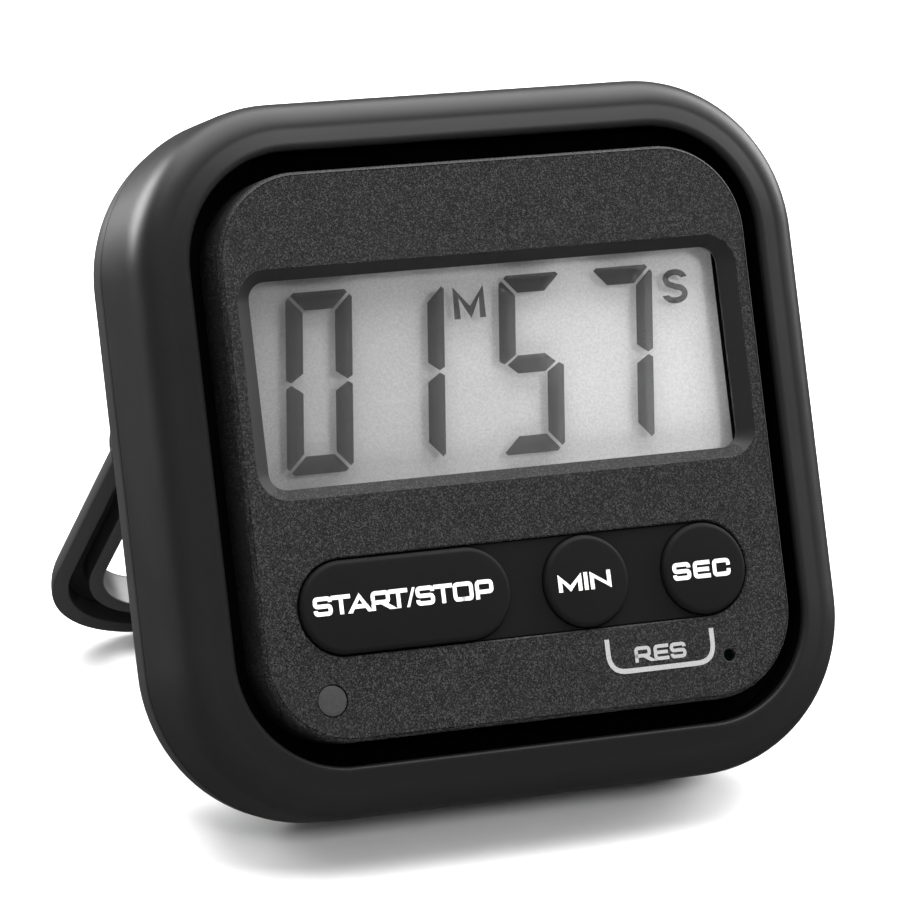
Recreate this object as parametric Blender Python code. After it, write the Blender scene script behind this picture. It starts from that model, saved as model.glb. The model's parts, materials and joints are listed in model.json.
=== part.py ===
"""A square digital kitchen timer that leans back on a folding loop stand, in metres, +Z up.

The sizes below are in millimetres. Every piece is drawn upright, in the case's own frame:
x to the right as seen from the front, y back into the case from the panel's face, and z up
along the face. The empty "case" then leans that frame back until the case and the stand
both touch z = 0.
"""

import math

import bmesh
import bpy
from mathutils import Matrix, Vector

MM = 0.001
GAP = 0.3  # between pieces that touch on the real object

# The case, seen from the front
CASE_HALF_X = 36.0
CASE_HALF_Z = 35.4
CASE_CORNER = 16.4
CORNER_STEPS = 6

# The front housing: a thick rounded ring. Insets run inwards from the case's outline.
CREASE_INSET, CREASE_Y = 3.0, 2.2
LIP_INSET, LIP_Y, LIP_ROUND = 5.2, 1.3, 0.3
SHOULDER_DEPTH, SHOULDER_SQUARENESS = 4.9, 2.8  # 2 is an ellipse, more is squarer
GROOVE_Y = 5.5
SHELF_INSET, SHELF_BACK = 8.9, 7.0
HOUSING_WALL, HOUSING_FILLET = 2.0, 1.4
SEAM_Y = 13.5

# The face panel, which sits in the ring with a groove round it
PANEL_INSET = 7.5
PANEL_THICK = 1.4
PANEL_SKIRT = 1.2
PANEL_EDGE, PANEL_EDGE_Y = 0.25, 0.25

# The display
VIEW_HALF_X = 25.45
VIEW_LOW, VIEW_HIGH = -2.9, 17.5
VIEW_BEVEL_X, VIEW_BEVEL_Z, VIEW_BEVEL_Y = 1.6, 1.1, 1.1
VIEW_CORNER, VIEW_BEVEL_CORNER = 1.8, 3.2
WINDOW_MARGIN, WINDOW_THICK = 1.4, 0.8
CELL_THICK, CELL_LEDGE, CELL_INSET = 1.1, 1.8, 0.2
REFLECTOR_THICK, REFLECTOR_INSET = 0.3, 0.4
STRIP_HALF_X = 22.0

# The keys
KEY_Z = -14.8
KEY_RADIUS = 4.5
KEY_HOLE_CLEAR = 0.32
START_LEFT, START_RIGHT = -19.7, -6.5
MIN_X, SEC_X = 6.4, 19.4
KEY_PROUD = 0.45
KEY_ROUND = 0.6
KEY_FLANGE, KEY_FLANGE_THICK = 0.65, 0.5
KEY_STEM_RADIUS = 1.2
KEY_TRAVEL = 0.8
SHEET_Y, SHEET_FLANGE, SHEET_THICK = 0.5, 1.0, 0.7

# The lamp and the small hole in the panel
LAMP_X, LAMP_Z, LAMP_RADIUS = -21.95, -23.7, 1.5
LAMP_CLEAR, LAMP_COLLAR, LAMP_COLLAR_THICK, LAMP_LEGS = 0.15, 0.4, 0.8, 1.0
LEG_HALF, LEG_X = 0.2, 0.7
PINHOLE_X, PINHOLE_Z, PINHOLE_RADIUS = 21.2, -23.7, 0.6

# The circuit board and what is on it
BOARD_THICK = 1.2
BOARD_INSET_X, BOARD_INSET_Z, BOARD_CORNER = 10.5, 9.8, 2.0
BOARD_TO_BAY = 0.4
BOARD_POST, BOARD_HOLE = 1.25, 0.8
BOARD_SCREW_HEAD, BOARD_SCREW_SHANK, BOARD_SCREW_THICK = 1.3, 0.4, 0.8
BOARD_SCREWS = ((-24.0, -7.5), (24.0, -7.5), (-13.0, -24.0), (13.0, -24.0))
CHIP_RADIUS, CHIP_X, CHIP_Z = 4.0, 4.0, -2.0

# The rear cover: a shallow tub with a raised island that the stand folds round
REAR_Y = 17.0
REAR_EDGE = 0.4
REAR_WALL = 2.3
REAR_PLATE = 1.6
ISLAND_TOP = 29.0
ISLAND_TOP_CORNER = 4.0
ISLAND_WALL = 1.5
ISLAND_EDGE = 0.8
CASE_SCREW_INSET, CASE_SCREW_TOP, CASE_SCREW_BOTTOM = 4.0, 16.0, -20.0
POST_RADIUS = 2.4
SCREW_SHANK, SCREW_HEAD, SCREW_THICK, SCREW_SEAT = 0.75, 1.75, 1.1, 1.7

# The stand
STAND_HALF_X = 35.0
STAND_CORNER = 15.0
STAND_BAR = 5.54
STAND_THICK = 3.7
STAND_LENGTH = 38.0
STAND_OPEN = 64.4  # degrees from folded to open
STAND_CHANNEL_OUT, STAND_CHANNEL_WIDE, STAND_CHANNEL_DEEP = 1.78, 2.18, 1.9
HINGE_Z = 4.08
PIN_RADIUS, PIN_CLEAR = 1.1, 0.3
STAND_TO_ISLAND = 0.4
KNUCKLE_INSET, KNUCKLE_STEP = 0.06, 0.75
PIN_END = 1.1
BACK_ROUND, BACK_CHAMFER = 3.5, 0.4

# The AAA cell and its bay
CELL_RADIUS, CELL_LENGTH = 5.15, 44.5
NUB_RADIUS, NUB_LENGTH = 1.9, 0.8
CELL_END_ROOM = 3.95  # at each end, for the contact plate and the spring
CELL_SIDE_ROOM = 0.75
CELL_TO_DOOR = 0.35
BAY_TO_SHELF = 0.95
BAY_TO_TOP = 3.0
BAY_WALL = 1.6
DOOR_THICK = 1.1
DOOR_MARGIN = 1.0
THUMB_REACH, THUMB_RADIUS, THUMB_DEEP = 4.0, 3.0, 0.5
CONTACT_THICK = 0.4
CONTACT_MARGIN, CONTACT_TO_DOOR = 1.3, 0.8
CONTACT_TAIL, CONTACT_TAIL_Y = 2.6, 7.0
SPRING_WIRE, SPRING_TURNS = 0.35, 3
SPRING_TIP, SPRING_BASE = 2.0, 4.2
LEAD_RADIUS = 0.4
LEAD_ROUTE = ((0.3, 3.0), (1.6, 6.0), (3.2, 8.5))  # towards the middle and down, from the contact's tail
LEAD_END_IN, LEAD_END_LOW = 3.8, 1.5

# Magnets and buzzer
MAGNET_RADIUS, MAGNET_THICK, MAGNET_X, MAGNET_Z = 5.0, 2.0, 17.0, -12.0
BUZZER_RADIUS, BUZZER_THICK, BUZZER_Z = 9.0, 1.2, -12.0
SOUND_HOLE, SOUND_HOLE_SPACING = 0.8, 4.0

# Worked out from the sizes above
BOARD_Y = SHELF_BACK + GAP
BOARD_HALF_X, BOARD_LOW = CASE_HALF_X - BOARD_INSET_X, BOARD_INSET_Z - CASE_HALF_Z
BAY_HALF_X = CELL_LENGTH / 2 + CELL_END_ROOM
BAY_HALF_Z = CELL_RADIUS + CELL_SIDE_ROOM
BAY_FLOOR = SHELF_BACK + BAY_TO_SHELF + BAY_WALL
CELL_Y = BAY_FLOOR + GAP + CELL_RADIUS
CELL_Z = ISLAND_TOP - BAY_TO_TOP - BAY_HALF_Z
DOOR_Y = CELL_Y + CELL_RADIUS + CELL_TO_DOOR
ISLAND_Y = DOOR_Y + DOOR_THICK
BOARD_HIGH = CELL_Z - BAY_HALF_Z - BAY_WALL - BOARD_TO_BAY
CASE_SCREW_X = CASE_HALF_X - CASE_SCREW_INSET
HINGE_Y = REAR_Y + GAP + STAND_THICK / 2
ISLAND_HALF_X = STAND_HALF_X - STAND_BAR - STAND_TO_ISLAND
ISLAND_CORNER = STAND_CORNER - STAND_BAR - STAND_TO_ISLAND
ISLAND_LOW = HINGE_Z - STAND_LENGTH + STAND_BAR + STAND_TO_ISLAND
WINDOW_Y = PANEL_THICK + GAP
LCD_Y = WINDOW_Y + WINDOW_THICK + GAP
REFLECTOR_Y = LCD_Y + CELL_THICK + GAP
SHEET_FLANGE_Y = PANEL_THICK + GAP
SHEET_BACK = SHEET_FLANGE_Y + SHEET_THICK
REAR_SEAM_Y = SEAM_Y + GAP


# ---------------------------------------------------------------- scene and materials

def clear_scene():
    for thing in list(bpy.data.objects):
        bpy.data.objects.remove(thing, do_unlink=True)


def collection(name):
    made = bpy.data.collections.new(name)
    bpy.context.scene.collection.children.link(made)
    return made


def material(name, colour, roughness, metallic=0.0):
    made = bpy.data.materials.new(name)
    made.use_nodes = True
    shader = made.node_tree.nodes["Principled BSDF"]
    shader.inputs["Base Color"].default_value = (*colour, 1.0)
    shader.inputs["Roughness"].default_value = roughness
    shader.inputs["Metallic"].default_value = metallic
    return made


clear_scene()
TIMER = collection("kitchen_timer")
CUTTERS = collection("cutters")

CHARCOAL = material("charcoal_soft_touch", (0.035, 0.035, 0.037), 0.5)
PANEL_BLACK = material("textured_black", (0.03, 0.03, 0.032), 0.6)
COVER_GREY = material("cover_dark_grey", (0.05, 0.05, 0.053), 0.45)
KEY_BLACK = material("key_rubber", (0.012, 0.012, 0.013), 0.55)
CLEAR = material("clear_window", (0.85, 0.87, 0.88), 0.05)
DISPLAY_GLASS = material("display_glass", (0.55, 0.57, 0.55), 0.15)
DISPLAY_BACK = material("display_reflector", (0.6, 0.61, 0.6), 0.4)
LAMP_LENS = material("lamp_lens", (0.3, 0.29, 0.29), 0.25)
BOARD_GREEN = material("board_green", (0.02, 0.16, 0.07), 0.45)
CHIP_BLACK = material("chip_black", (0.01, 0.01, 0.01), 0.35)
CONTACT_RUBBER = material("contact_rubber", (0.12, 0.12, 0.13), 0.7)
NICKEL = material("nickel_steel", (0.65, 0.64, 0.6), 0.3, 1.0)
BRASS = material("brass", (0.75, 0.55, 0.25), 0.35, 1.0)
CELL_SLEEVE = material("cell_sleeve", (0.25, 0.27, 0.3), 0.4)
SCREW_STEEL = material("screw_steel", (0.35, 0.35, 0.36), 0.35, 1.0)
RED_LEAD = material("red_lead", (0.5, 0.02, 0.02), 0.5)
BLACK_LEAD = material("black_lead", (0.015, 0.015, 0.015), 0.5)


# ---------------------------------------------------------------- shapes, in millimetres

def rounded(half_x, half_z, corner, y, centre_z=0.0, top_corner=None):
    """A rounded rectangle's points at depth y, counter-clockwise as seen from the front."""
    points = []
    for quarter, (side_x, side_z) in enumerate(((1, 1), (-1, 1), (-1, -1), (1, -1))):
        radius = top_corner if top_corner and side_z > 0 else corner
        for step in range(CORNER_STEPS + 1):
            angle = math.radians(90 * (quarter + step / CORNER_STEPS))
            x = side_x * (half_x - radius) + radius * math.cos(angle)
            z = centre_z + side_z * (half_z - radius) + radius * math.sin(angle)
            points.append(Vector((x, y, z)))
    return points


def case_outline(inset, y):
    """The case's outline, moved in by inset, at depth y."""
    return rounded(CASE_HALF_X - inset, CASE_HALF_Z - inset, CASE_CORNER - inset, y)


def pill(left, right, radius, y, z=KEY_Z, steps=12):
    """A pill's points at depth y: two half circles, or one circle where left equals right."""
    points = []
    for centre, start in ((right, -90), (left, 90)):
        for step in range(steps + (left != right)):
            angle = math.radians(start + 180 * step / steps)
            points.append(Vector((centre + radius * math.cos(angle), y, z + radius * math.sin(angle))))
    return points


def circle(x, z, radius, y, steps=16):
    turn = [2 * math.pi * (step + 0.5) / steps for step in range(steps)]
    return [Vector((x + radius * math.cos(a), y, z + radius * math.sin(a))) for a in turn]


def loft(loops, closed=False, bm=None):
    """Skin a row of loops with as many points each. closed joins the last loop to the first."""
    bm = bm or bmesh.new()
    rows = [[bm.verts.new(point * MM) for point in loop] for loop in loops]
    pairs = list(zip(rows, rows[1:]))
    if closed:
        pairs.append((rows[-1], rows[0]))
    else:
        bm.faces.new(rows[0][::-1])
        bm.faces.new(rows[-1])
    for near, far in pairs:
        for i in range(len(near)):
            j = (i + 1) % len(near)
            bm.faces.new((near[i], near[j], far[j], far[i]))
    bmesh.ops.recalc_face_normals(bm, faces=bm.faces)
    return bm


def box(low, high, bm=None):
    bm = bm or bmesh.new()
    low, high = Vector(low), Vector(high)
    size = Matrix.Diagonal((*(high - low) * MM, 1.0))
    bmesh.ops.create_cube(bm, size=1.0, matrix=Matrix.Translation((low + high) * MM / 2) @ size)
    return bm


def rod(axis, centre, radius, start, end, steps=16, bm=None):
    """A cylinder along x or y. centre is its place in the two other directions, in x, y, z order."""
    bm = bm or bmesh.new()
    middle = (start + end) / 2
    if axis == "x":
        turn = Matrix.Rotation(math.pi / 2, 4, "Y")
        place = Vector((middle, centre[0], centre[1]))
    else:
        turn = Matrix.Rotation(math.pi / 2, 4, "X")
        place = Vector((centre[0], middle, centre[1]))
    bmesh.ops.create_cone(
        bm, cap_ends=True, segments=steps, radius1=radius * MM, radius2=radius * MM,
        depth=(end - start) * MM, matrix=Matrix.Translation(place * MM) @ turn)
    return bm


# ---------------------------------------------------------------- objects

def piece(name, bm, paint, origin=(0.0, 0.0, 0.0), smooth=30):
    """An object in the case's frame with its origin at the point given in millimetres."""
    place = Vector(origin) * MM
    bmesh.ops.translate(bm, verts=bm.verts, vec=-place)
    mesh = bpy.data.meshes.new(name)
    bm.to_mesh(mesh)
    bm.free()
    mesh.materials.append(paint)
    mesh.shade_smooth()
    mesh.set_sharp_from_angle(angle=math.radians(smooth))
    made = bpy.data.objects.new(name, mesh)
    made.parent = CASE
    made.location = place
    TIMER.objects.link(made)
    return made


def shape(target, operation, name, bm):
    """Cuts the shape from the target, or joins it to the target."""
    helper = piece(f"{target.name}_{name}", bm, CHARCOAL)
    TIMER.objects.unlink(helper)
    CUTTERS.objects.link(helper)
    helper.hide_render = True
    helper.display_type = "WIRE"
    step = target.modifiers.new(name, "BOOLEAN")
    step.operation = operation
    step.solver = "EXACT"
    step.object = helper
    return helper


def cut(target, name, bm):
    return shape(target, "DIFFERENCE", name, bm)


def join(target, name, bm):
    return shape(target, "UNION", name, bm)


# ---------------------------------------------------------------- housing and panel

def housing_front():
    """The ring's outer profile from its seam round to the groove, as (inset, depth) pairs."""
    steps = 6
    power = 2 / SHOULDER_SQUARENESS
    shoulder = []
    for step in range(steps + 1):
        angle = math.radians(90 * step / steps)
        inset = CREASE_INSET * (1 - abs(math.cos(angle)) ** power)
        y = CREASE_Y + SHOULDER_DEPTH * (1 - math.sin(angle) ** power)
        shoulder.append((inset, y))
    return [
        (0.15, SEAM_Y), (0.0, SEAM_Y - 0.3), *shoulder,
        (LIP_INSET - LIP_ROUND, LIP_Y), (LIP_INSET, LIP_Y + LIP_ROUND)]


def front_housing():
    inner = [
        (LIP_INSET, GROOVE_Y), (SHELF_INSET, GROOVE_Y), (SHELF_INSET, SHELF_BACK),
        (HOUSING_WALL + HOUSING_FILLET, SHELF_BACK), (HOUSING_WALL, SHELF_BACK + HOUSING_FILLET),
        (HOUSING_WALL, SEAM_Y)]
    loops = [case_outline(inset, y) for inset, y in housing_front() + inner]
    made = piece("front_housing", loft(loops, closed=True), CHARCOAL)
    posts, holes = bmesh.new(), bmesh.new()
    for x, z in case_screw_places():
        rod("y", (x, z), POST_RADIUS, SHELF_BACK - 0.6, SEAM_Y - 0.1, bm=posts)
        rod("y", (x, z), SCREW_SHANK + GAP, SHELF_BACK + 1.5, SEAM_Y + 1, bm=holes)
    join(made, "posts", posts)
    cut(made, "post_holes", holes)
    return made


def view_outline(share, y):
    """The display opening at depth y. share is 0 at its inner edge and 1 where the bevel meets the face."""
    middle = (VIEW_LOW + VIEW_HIGH) / 2
    half_x = VIEW_HALF_X + share * VIEW_BEVEL_X
    half_z = (VIEW_HIGH - VIEW_LOW) / 2 + share * VIEW_BEVEL_Z
    corner = VIEW_CORNER + share * (VIEW_BEVEL_CORNER - VIEW_CORNER)
    return rounded(half_x, half_z, corner, y, middle)


def face_panel():
    loops = [
        case_outline(PANEL_INSET + PANEL_EDGE, 0.0),
        case_outline(PANEL_INSET, PANEL_EDGE_Y),
        case_outline(PANEL_INSET, GROOVE_Y - GAP),
        case_outline(PANEL_INSET + PANEL_SKIRT, GROOVE_Y - GAP),
        case_outline(PANEL_INSET + PANEL_SKIRT, PANEL_THICK)]
    made = piece("face_panel", loft(loops), PANEL_BLACK)
    posts, holes = bmesh.new(), bmesh.new()
    for x, z in BOARD_SCREWS:
        rod("y", (x, z), BOARD_POST, PANEL_THICK - 0.4, BOARD_Y - GAP, 12, bm=posts)
        rod("y", (x, z), BOARD_POST / 2, PANEL_THICK + 1.2, BOARD_Y + 1, 8, bm=holes)
    join(made, "posts", posts)
    cut(made, "post_holes", holes)
    view = [view_outline(2.0, -VIEW_BEVEL_Y), view_outline(0.0, VIEW_BEVEL_Y), view_outline(0.0, WINDOW_Y)]
    cut(made, "view", loft(view))
    radius = KEY_RADIUS + KEY_HOLE_CLEAR
    cut(made, "key_slot", loft([pill(START_LEFT, SEC_X, radius, y) for y in (-1.0, PANEL_THICK + 1)]))
    small = rod("y", (LAMP_X, LAMP_Z), LAMP_RADIUS + LAMP_CLEAR, -1.0, PANEL_THICK + 1)
    rod("y", (PINHOLE_X, PINHOLE_Z), PINHOLE_RADIUS, -1.0, PANEL_THICK + 1, 12, bm=small)
    cut(made, "lamp_and_pin_holes", small)
    return made


# ---------------------------------------------------------------- display

def display_plate(name, paint, y, thick, low, high, half_x):
    return piece(name, box((-half_x, y, low), (half_x, y + thick, high)), paint)


def display():
    half_x = VIEW_HALF_X + WINDOW_MARGIN
    low, high = VIEW_LOW - WINDOW_MARGIN, VIEW_HIGH + WINDOW_MARGIN
    ledge = low - CELL_LEDGE
    display_plate("display_window", CLEAR, WINDOW_Y, WINDOW_THICK, low, high, half_x)
    display_plate("lcd_cell", DISPLAY_GLASS, LCD_Y, CELL_THICK, ledge, high, half_x - CELL_INSET)
    display_plate("lcd_reflector", DISPLAY_BACK, REFLECTOR_Y, REFLECTOR_THICK, low, high, half_x - REFLECTOR_INSET)
    strip_low, strip_high = (-STRIP_HALF_X, REFLECTOR_Y, ledge + CELL_INSET), (STRIP_HALF_X, BOARD_Y - GAP, low - GAP)
    piece("zebra_strip", box(strip_low, strip_high), CONTACT_RUBBER)


# ---------------------------------------------------------------- keys, keypad sheet, lamp

KEYS = (("start_stop_button", START_LEFT, START_RIGHT), ("min_button", MIN_X, MIN_X), ("sec_button", SEC_X, SEC_X))


def key(name, left, right):
    """A cap with a rounded edge, a flange that the sheet keeps in, and a stem that reaches the board."""
    loops = []
    for step in range(4):
        angle = math.radians(30 * step)
        inset, y = KEY_ROUND * (1 - math.sin(angle)), KEY_ROUND * (1 - math.cos(angle)) - KEY_PROUD
        loops.append(pill(left, right, KEY_RADIUS - inset, y))
    flange_y = SHEET_BACK + GAP
    back = flange_y + KEY_FLANGE_THICK
    stem_end = BOARD_Y - KEY_TRAVEL - 0.2
    loops += [
        pill(left, right, KEY_RADIUS, flange_y), pill(left, right, KEY_RADIUS + KEY_FLANGE, flange_y),
        pill(left, right, KEY_RADIUS + KEY_FLANGE, back),
        pill(left, right, KEY_STEM_RADIUS, back), pill(left, right, KEY_STEM_RADIUS, stem_end)]
    return piece(name, loft(loops), KEY_BLACK, ((left + right) / 2, 0.0, KEY_Z))


def keypad_sheet():
    radius = KEY_RADIUS + KEY_HOLE_CLEAR
    edge, flange = radius - GAP, radius + SHEET_FLANGE
    loops = [
        pill(START_LEFT, SEC_X, edge, SHEET_Y), pill(START_LEFT, SEC_X, edge, SHEET_FLANGE_Y),
        pill(START_LEFT, SEC_X, flange, SHEET_FLANGE_Y), pill(START_LEFT, SEC_X, flange, SHEET_BACK)]
    made = piece("keypad_sheet", loft(loops), KEY_BLACK)
    holes = bmesh.new()
    for _, left, right in KEYS:
        loft([pill(left, right, KEY_RADIUS + GAP, y) for y in (SHEET_Y - 1, SHEET_BACK + 1)], bm=holes)
    cut(made, "key_holes", holes)
    return made


def signal_led():
    """The lamp: a round lens with a domed front, on a collar, with its two legs."""
    collar_y = BOARD_Y - LAMP_LEGS - LAMP_COLLAR_THICK
    loops = [circle(LAMP_X, LAMP_Z, 0.7, -0.1), circle(LAMP_X, LAMP_Z, 1.2, 0.05)]
    loops += [circle(LAMP_X, LAMP_Z, LAMP_RADIUS, y) for y in (0.35, collar_y)]
    loops += [circle(LAMP_X, LAMP_Z, LAMP_RADIUS + LAMP_COLLAR, y) for y in (collar_y, collar_y + LAMP_COLLAR_THICK)]
    made = piece("signal_led", loft(loops), LAMP_LENS)
    legs = bmesh.new()
    for x in (LAMP_X - LEG_X, LAMP_X + LEG_X):
        box((x - LEG_HALF, collar_y + 0.5, LAMP_Z - LEG_HALF), (x + LEG_HALF, BOARD_Y - GAP, LAMP_Z + LEG_HALF), legs)
    join(made, "legs", legs)
    return made


# ---------------------------------------------------------------- board

def screw(name, x, z, head_y, head_thick, head, shank, tip_y):
    """A pan-head screw driven in from the back, with a cross slot."""
    loops = [circle(x, z, shank * 0.4, tip_y, 12), circle(x, z, shank, tip_y + shank, 12)]
    loops += [circle(x, z, shank, head_y, 12), circle(x, z, head, head_y, 12)]
    loops += [circle(x, z, head, head_y + head_thick * 0.5, 12), circle(x, z, head * 0.7, head_y + head_thick, 12)]
    made = piece(name, loft(loops), SCREW_STEEL)
    arm, half, depth = head * 0.55, head * 0.13, head_thick * 0.5
    top = head_y + head_thick
    cut(made, "slot_across", box((x - arm, top - depth, z - half), (x + arm, top + 1, z + half)))
    cut(made, "slot_along", box((x - half, top - depth, z - arm), (x + half, top + 1, z + arm)))
    return made


def board():
    back = BOARD_Y + BOARD_THICK
    half_z, middle = (BOARD_HIGH - BOARD_LOW) / 2, (BOARD_HIGH + BOARD_LOW) / 2
    loops = [rounded(BOARD_HALF_X, half_z, BOARD_CORNER, y, middle) for y in (BOARD_Y, back)]
    made = piece("circuit_board", loft(loops), BOARD_GREEN)
    holes = bmesh.new()
    for x, z in BOARD_SCREWS:
        rod("y", (x, z), BOARD_HOLE, BOARD_Y - 1, back + 1, 12, bm=holes)
    cut(made, "screw_holes", holes)
    for number, (x, z) in enumerate(BOARD_SCREWS, 1):
        screw(
            f"board_screw_{number}", x, z, back + GAP, BOARD_SCREW_THICK, BOARD_SCREW_HEAD, BOARD_SCREW_SHANK,
            PANEL_THICK + 1.6)
    dome = [(1.0, 0.0), (0.95, 0.4), (0.7, 0.8), (0.35, 1.0)]
    loops = [circle(CHIP_X, CHIP_Z, CHIP_RADIUS * r, back + GAP + y) for r, y in dome]
    piece("driver_chip", loft(loops), CHIP_BLACK)


# ---------------------------------------------------------------- rear cover

def case_screw_places():
    return [(x, z) for x in (-CASE_SCREW_X, CASE_SCREW_X) for z in (CASE_SCREW_TOP, CASE_SCREW_BOTTOM)]


def island_outline(inset, y):
    half_z, middle = (ISLAND_TOP - ISLAND_LOW) / 2, (ISLAND_TOP + ISLAND_LOW) / 2
    corners = ISLAND_CORNER - inset, ISLAND_TOP_CORNER - inset
    return rounded(ISLAND_HALF_X - inset, half_z - inset, corners[0], y, middle, corners[1])


def bore(x, z, steps, sides=12, bm=None):
    """A stepped round hole along y, from (radius, depth) pairs."""
    return loft([circle(x, z, radius, y, sides) for radius, y in steps], bm=bm)


def rear_cover():
    tub = [
        case_outline(0.3, REAR_SEAM_Y), case_outline(0.1, REAR_SEAM_Y + 0.25),
        case_outline(REAR_EDGE / 2, REAR_Y - REAR_EDGE), case_outline(REAR_EDGE, REAR_Y - REAR_EDGE * 0.3),
        case_outline(REAR_EDGE * 1.6, REAR_Y)]
    made = piece("rear_cover", loft(tub), COVER_GREY)
    join(made, "island", loft([
        island_outline(0.0, REAR_Y - REAR_PLATE / 2), island_outline(0.0, ISLAND_Y - ISLAND_EDGE),
        island_outline(ISLAND_EDGE * 0.3, ISLAND_Y - ISLAND_EDGE * 0.3), island_outline(ISLAND_EDGE, ISLAND_Y)]))
    plate = REAR_Y - REAR_PLATE
    cut(made, "tub_hollow", loft([case_outline(REAR_WALL, y) for y in (REAR_SEAM_Y - 1, plate)]))
    back_plate = ISLAND_Y - ISLAND_WALL
    cut(made, "island_hollow", loft([island_outline(ISLAND_WALL, y) for y in (REAR_SEAM_Y - 0.5, back_plate)]))

    solids = box(
        (-BAY_HALF_X - BAY_WALL, BAY_FLOOR - BAY_WALL, CELL_Z - BAY_HALF_Z - BAY_WALL),
        (BAY_HALF_X + BAY_WALL, ISLAND_Y - ISLAND_WALL / 2, CELL_Z + BAY_HALF_Z + BAY_WALL))
    for x, z in case_screw_places():
        rod("y", (x, z), POST_RADIUS, REAR_SEAM_Y + 0.1, REAR_Y - REAR_PLATE / 2, bm=solids)
    seat = ISLAND_Y - MAGNET_THICK - GAP
    for x in (-MAGNET_X, MAGNET_X):
        rod("y", (x, MAGNET_Z), MAGNET_RADIUS + 1.0, seat - 1.0, ISLAND_Y - ISLAND_WALL / 2, bm=solids)
    join(made, "bay_and_bosses", solids)

    holes = box((-BAY_HALF_X, BAY_FLOOR, CELL_Z - BAY_HALF_Z), (BAY_HALF_X, ISLAND_Y + 1, CELL_Z + BAY_HALF_Z))
    shank, head = SCREW_SHANK + GAP, SCREW_HEAD + GAP
    for x, z in case_screw_places():
        steps = ((shank, REAR_SEAM_Y - 1), (shank, REAR_Y - SCREW_SEAT), (head, REAR_Y - SCREW_SEAT), (head, REAR_Y + 1))
        bore(x, z, steps, bm=holes)
    for side in (-1, 1):
        rod("y", (side * MAGNET_X, MAGNET_Z), MAGNET_RADIUS + GAP, seat, ISLAND_Y + 1, bm=holes)
        inner, outer = ISLAND_HALF_X - ISLAND_WALL - 0.5, ISLAND_HALF_X + 0.5
        start, end = sorted((side * inner, side * outer))
        rod("x", (HINGE_Y, HINGE_Z), PIN_RADIUS + PIN_CLEAR, start, end, 12, bm=holes)
    for number in range(-2, 3):
        rod("y", (SOUND_HOLE_SPACING * number, BUZZER_Z), SOUND_HOLE, back_plate - 1, ISLAND_Y + 1, 8, bm=holes)
    cut(made, "bay_and_holes", holes)

    seat_half_x, seat_half_z = BAY_HALF_X + DOOR_MARGIN, BAY_HALF_Z + DOOR_MARGIN
    low, high = CELL_Z - seat_half_z, CELL_Z + seat_half_z
    cut(made, "door_seat", box((-seat_half_x, DOOR_Y - GAP, low), (seat_half_x, ISLAND_Y + 1, high)))
    slots = bmesh.new()
    for x in contact_places():
        tail_low, tail_high = CELL_Z - CONTACT_TAIL / 2 - GAP, CELL_Z + CONTACT_TAIL / 2 + GAP
        box((x - CONTACT_THICK / 2 - GAP, BAY_FLOOR - BAY_WALL - 1, tail_low),
            (x + CONTACT_THICK / 2 + GAP, BAY_FLOOR + 1, tail_high), slots)
    cut(made, "contact_slots", slots)
    return made


def case_screws():
    for number, (x, z) in enumerate(case_screw_places(), 1):
        head_y = REAR_Y - SCREW_SEAT + GAP
        screw(f"case_screw_{number}", x, z, head_y, SCREW_THICK, SCREW_HEAD, SCREW_SHANK, SHELF_BACK + 2.0)


# ---------------------------------------------------------------- battery bay

def turned_x(name, steps, paint):
    """A piece turned about the cell's axis, from (x, radius) pairs."""
    loops = [[Vector((x, CELL_Y + p.x, CELL_Z + p.z)) for p in circle(0, 0, radius, 0)] for x, radius in steps]
    return piece(name, loft(loops), paint)


def contact_places():
    """The two contact plates' middles along x: plus at the left, minus at the right."""
    return -BAY_HALF_X + GAP + CONTACT_THICK / 2, BAY_HALF_X - GAP - CONTACT_THICK / 2


def battery():
    plus, minus = contact_places()
    tip = plus + CONTACT_THICK / 2 + GAP
    shoulder, end = tip + NUB_LENGTH, tip + CELL_LENGTH
    steps = ((tip, NUB_RADIUS), (shoulder, NUB_RADIUS), (shoulder, CELL_RADIUS - 0.5), (shoulder + 0.5, CELL_RADIUS))
    turned_x("battery", (*steps, (end - 0.4, CELL_RADIUS), (end, CELL_RADIUS - 0.4)), CELL_SLEEVE)
    for name, x in (("battery_contact_plus", plus), ("battery_contact_minus", minus)):
        half = CONTACT_THICK / 2
        reach = BAY_HALF_Z - CONTACT_MARGIN
        low, high = (x - half, BAY_FLOOR + GAP, CELL_Z - reach), (x + half, DOOR_Y - CONTACT_TO_DOOR, CELL_Z + reach)
        made = piece(name, box(low, high), NICKEL)
        tail = CONTACT_TAIL / 2
        join(made, "tail", box((x - half, CONTACT_TAIL_Y, CELL_Z - tail), (x + half, BAY_FLOOR + 1, CELL_Z + tail)))
    coil(end + GAP + SPRING_WIRE, minus - CONTACT_THICK / 2 - GAP - SPRING_WIRE)


def wire(name, points, radius, paint, sides=2):
    """A bent wire through points in the case's frame."""
    curve = bpy.data.curves.new(name, "CURVE")
    curve.dimensions = "3D"
    curve.bevel_depth = radius * MM
    curve.bevel_resolution = sides
    curve.use_fill_caps = True
    spline = curve.splines.new("POLY")
    spline.points.add(len(points) - 1)
    for point, place in zip(spline.points, points):
        point.co = (*(Vector(place) * MM), 1.0)
    curve.materials.append(paint)
    made = bpy.data.objects.new(name, curve)
    made.parent = CASE
    TIMER.objects.link(made)
    return made


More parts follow.
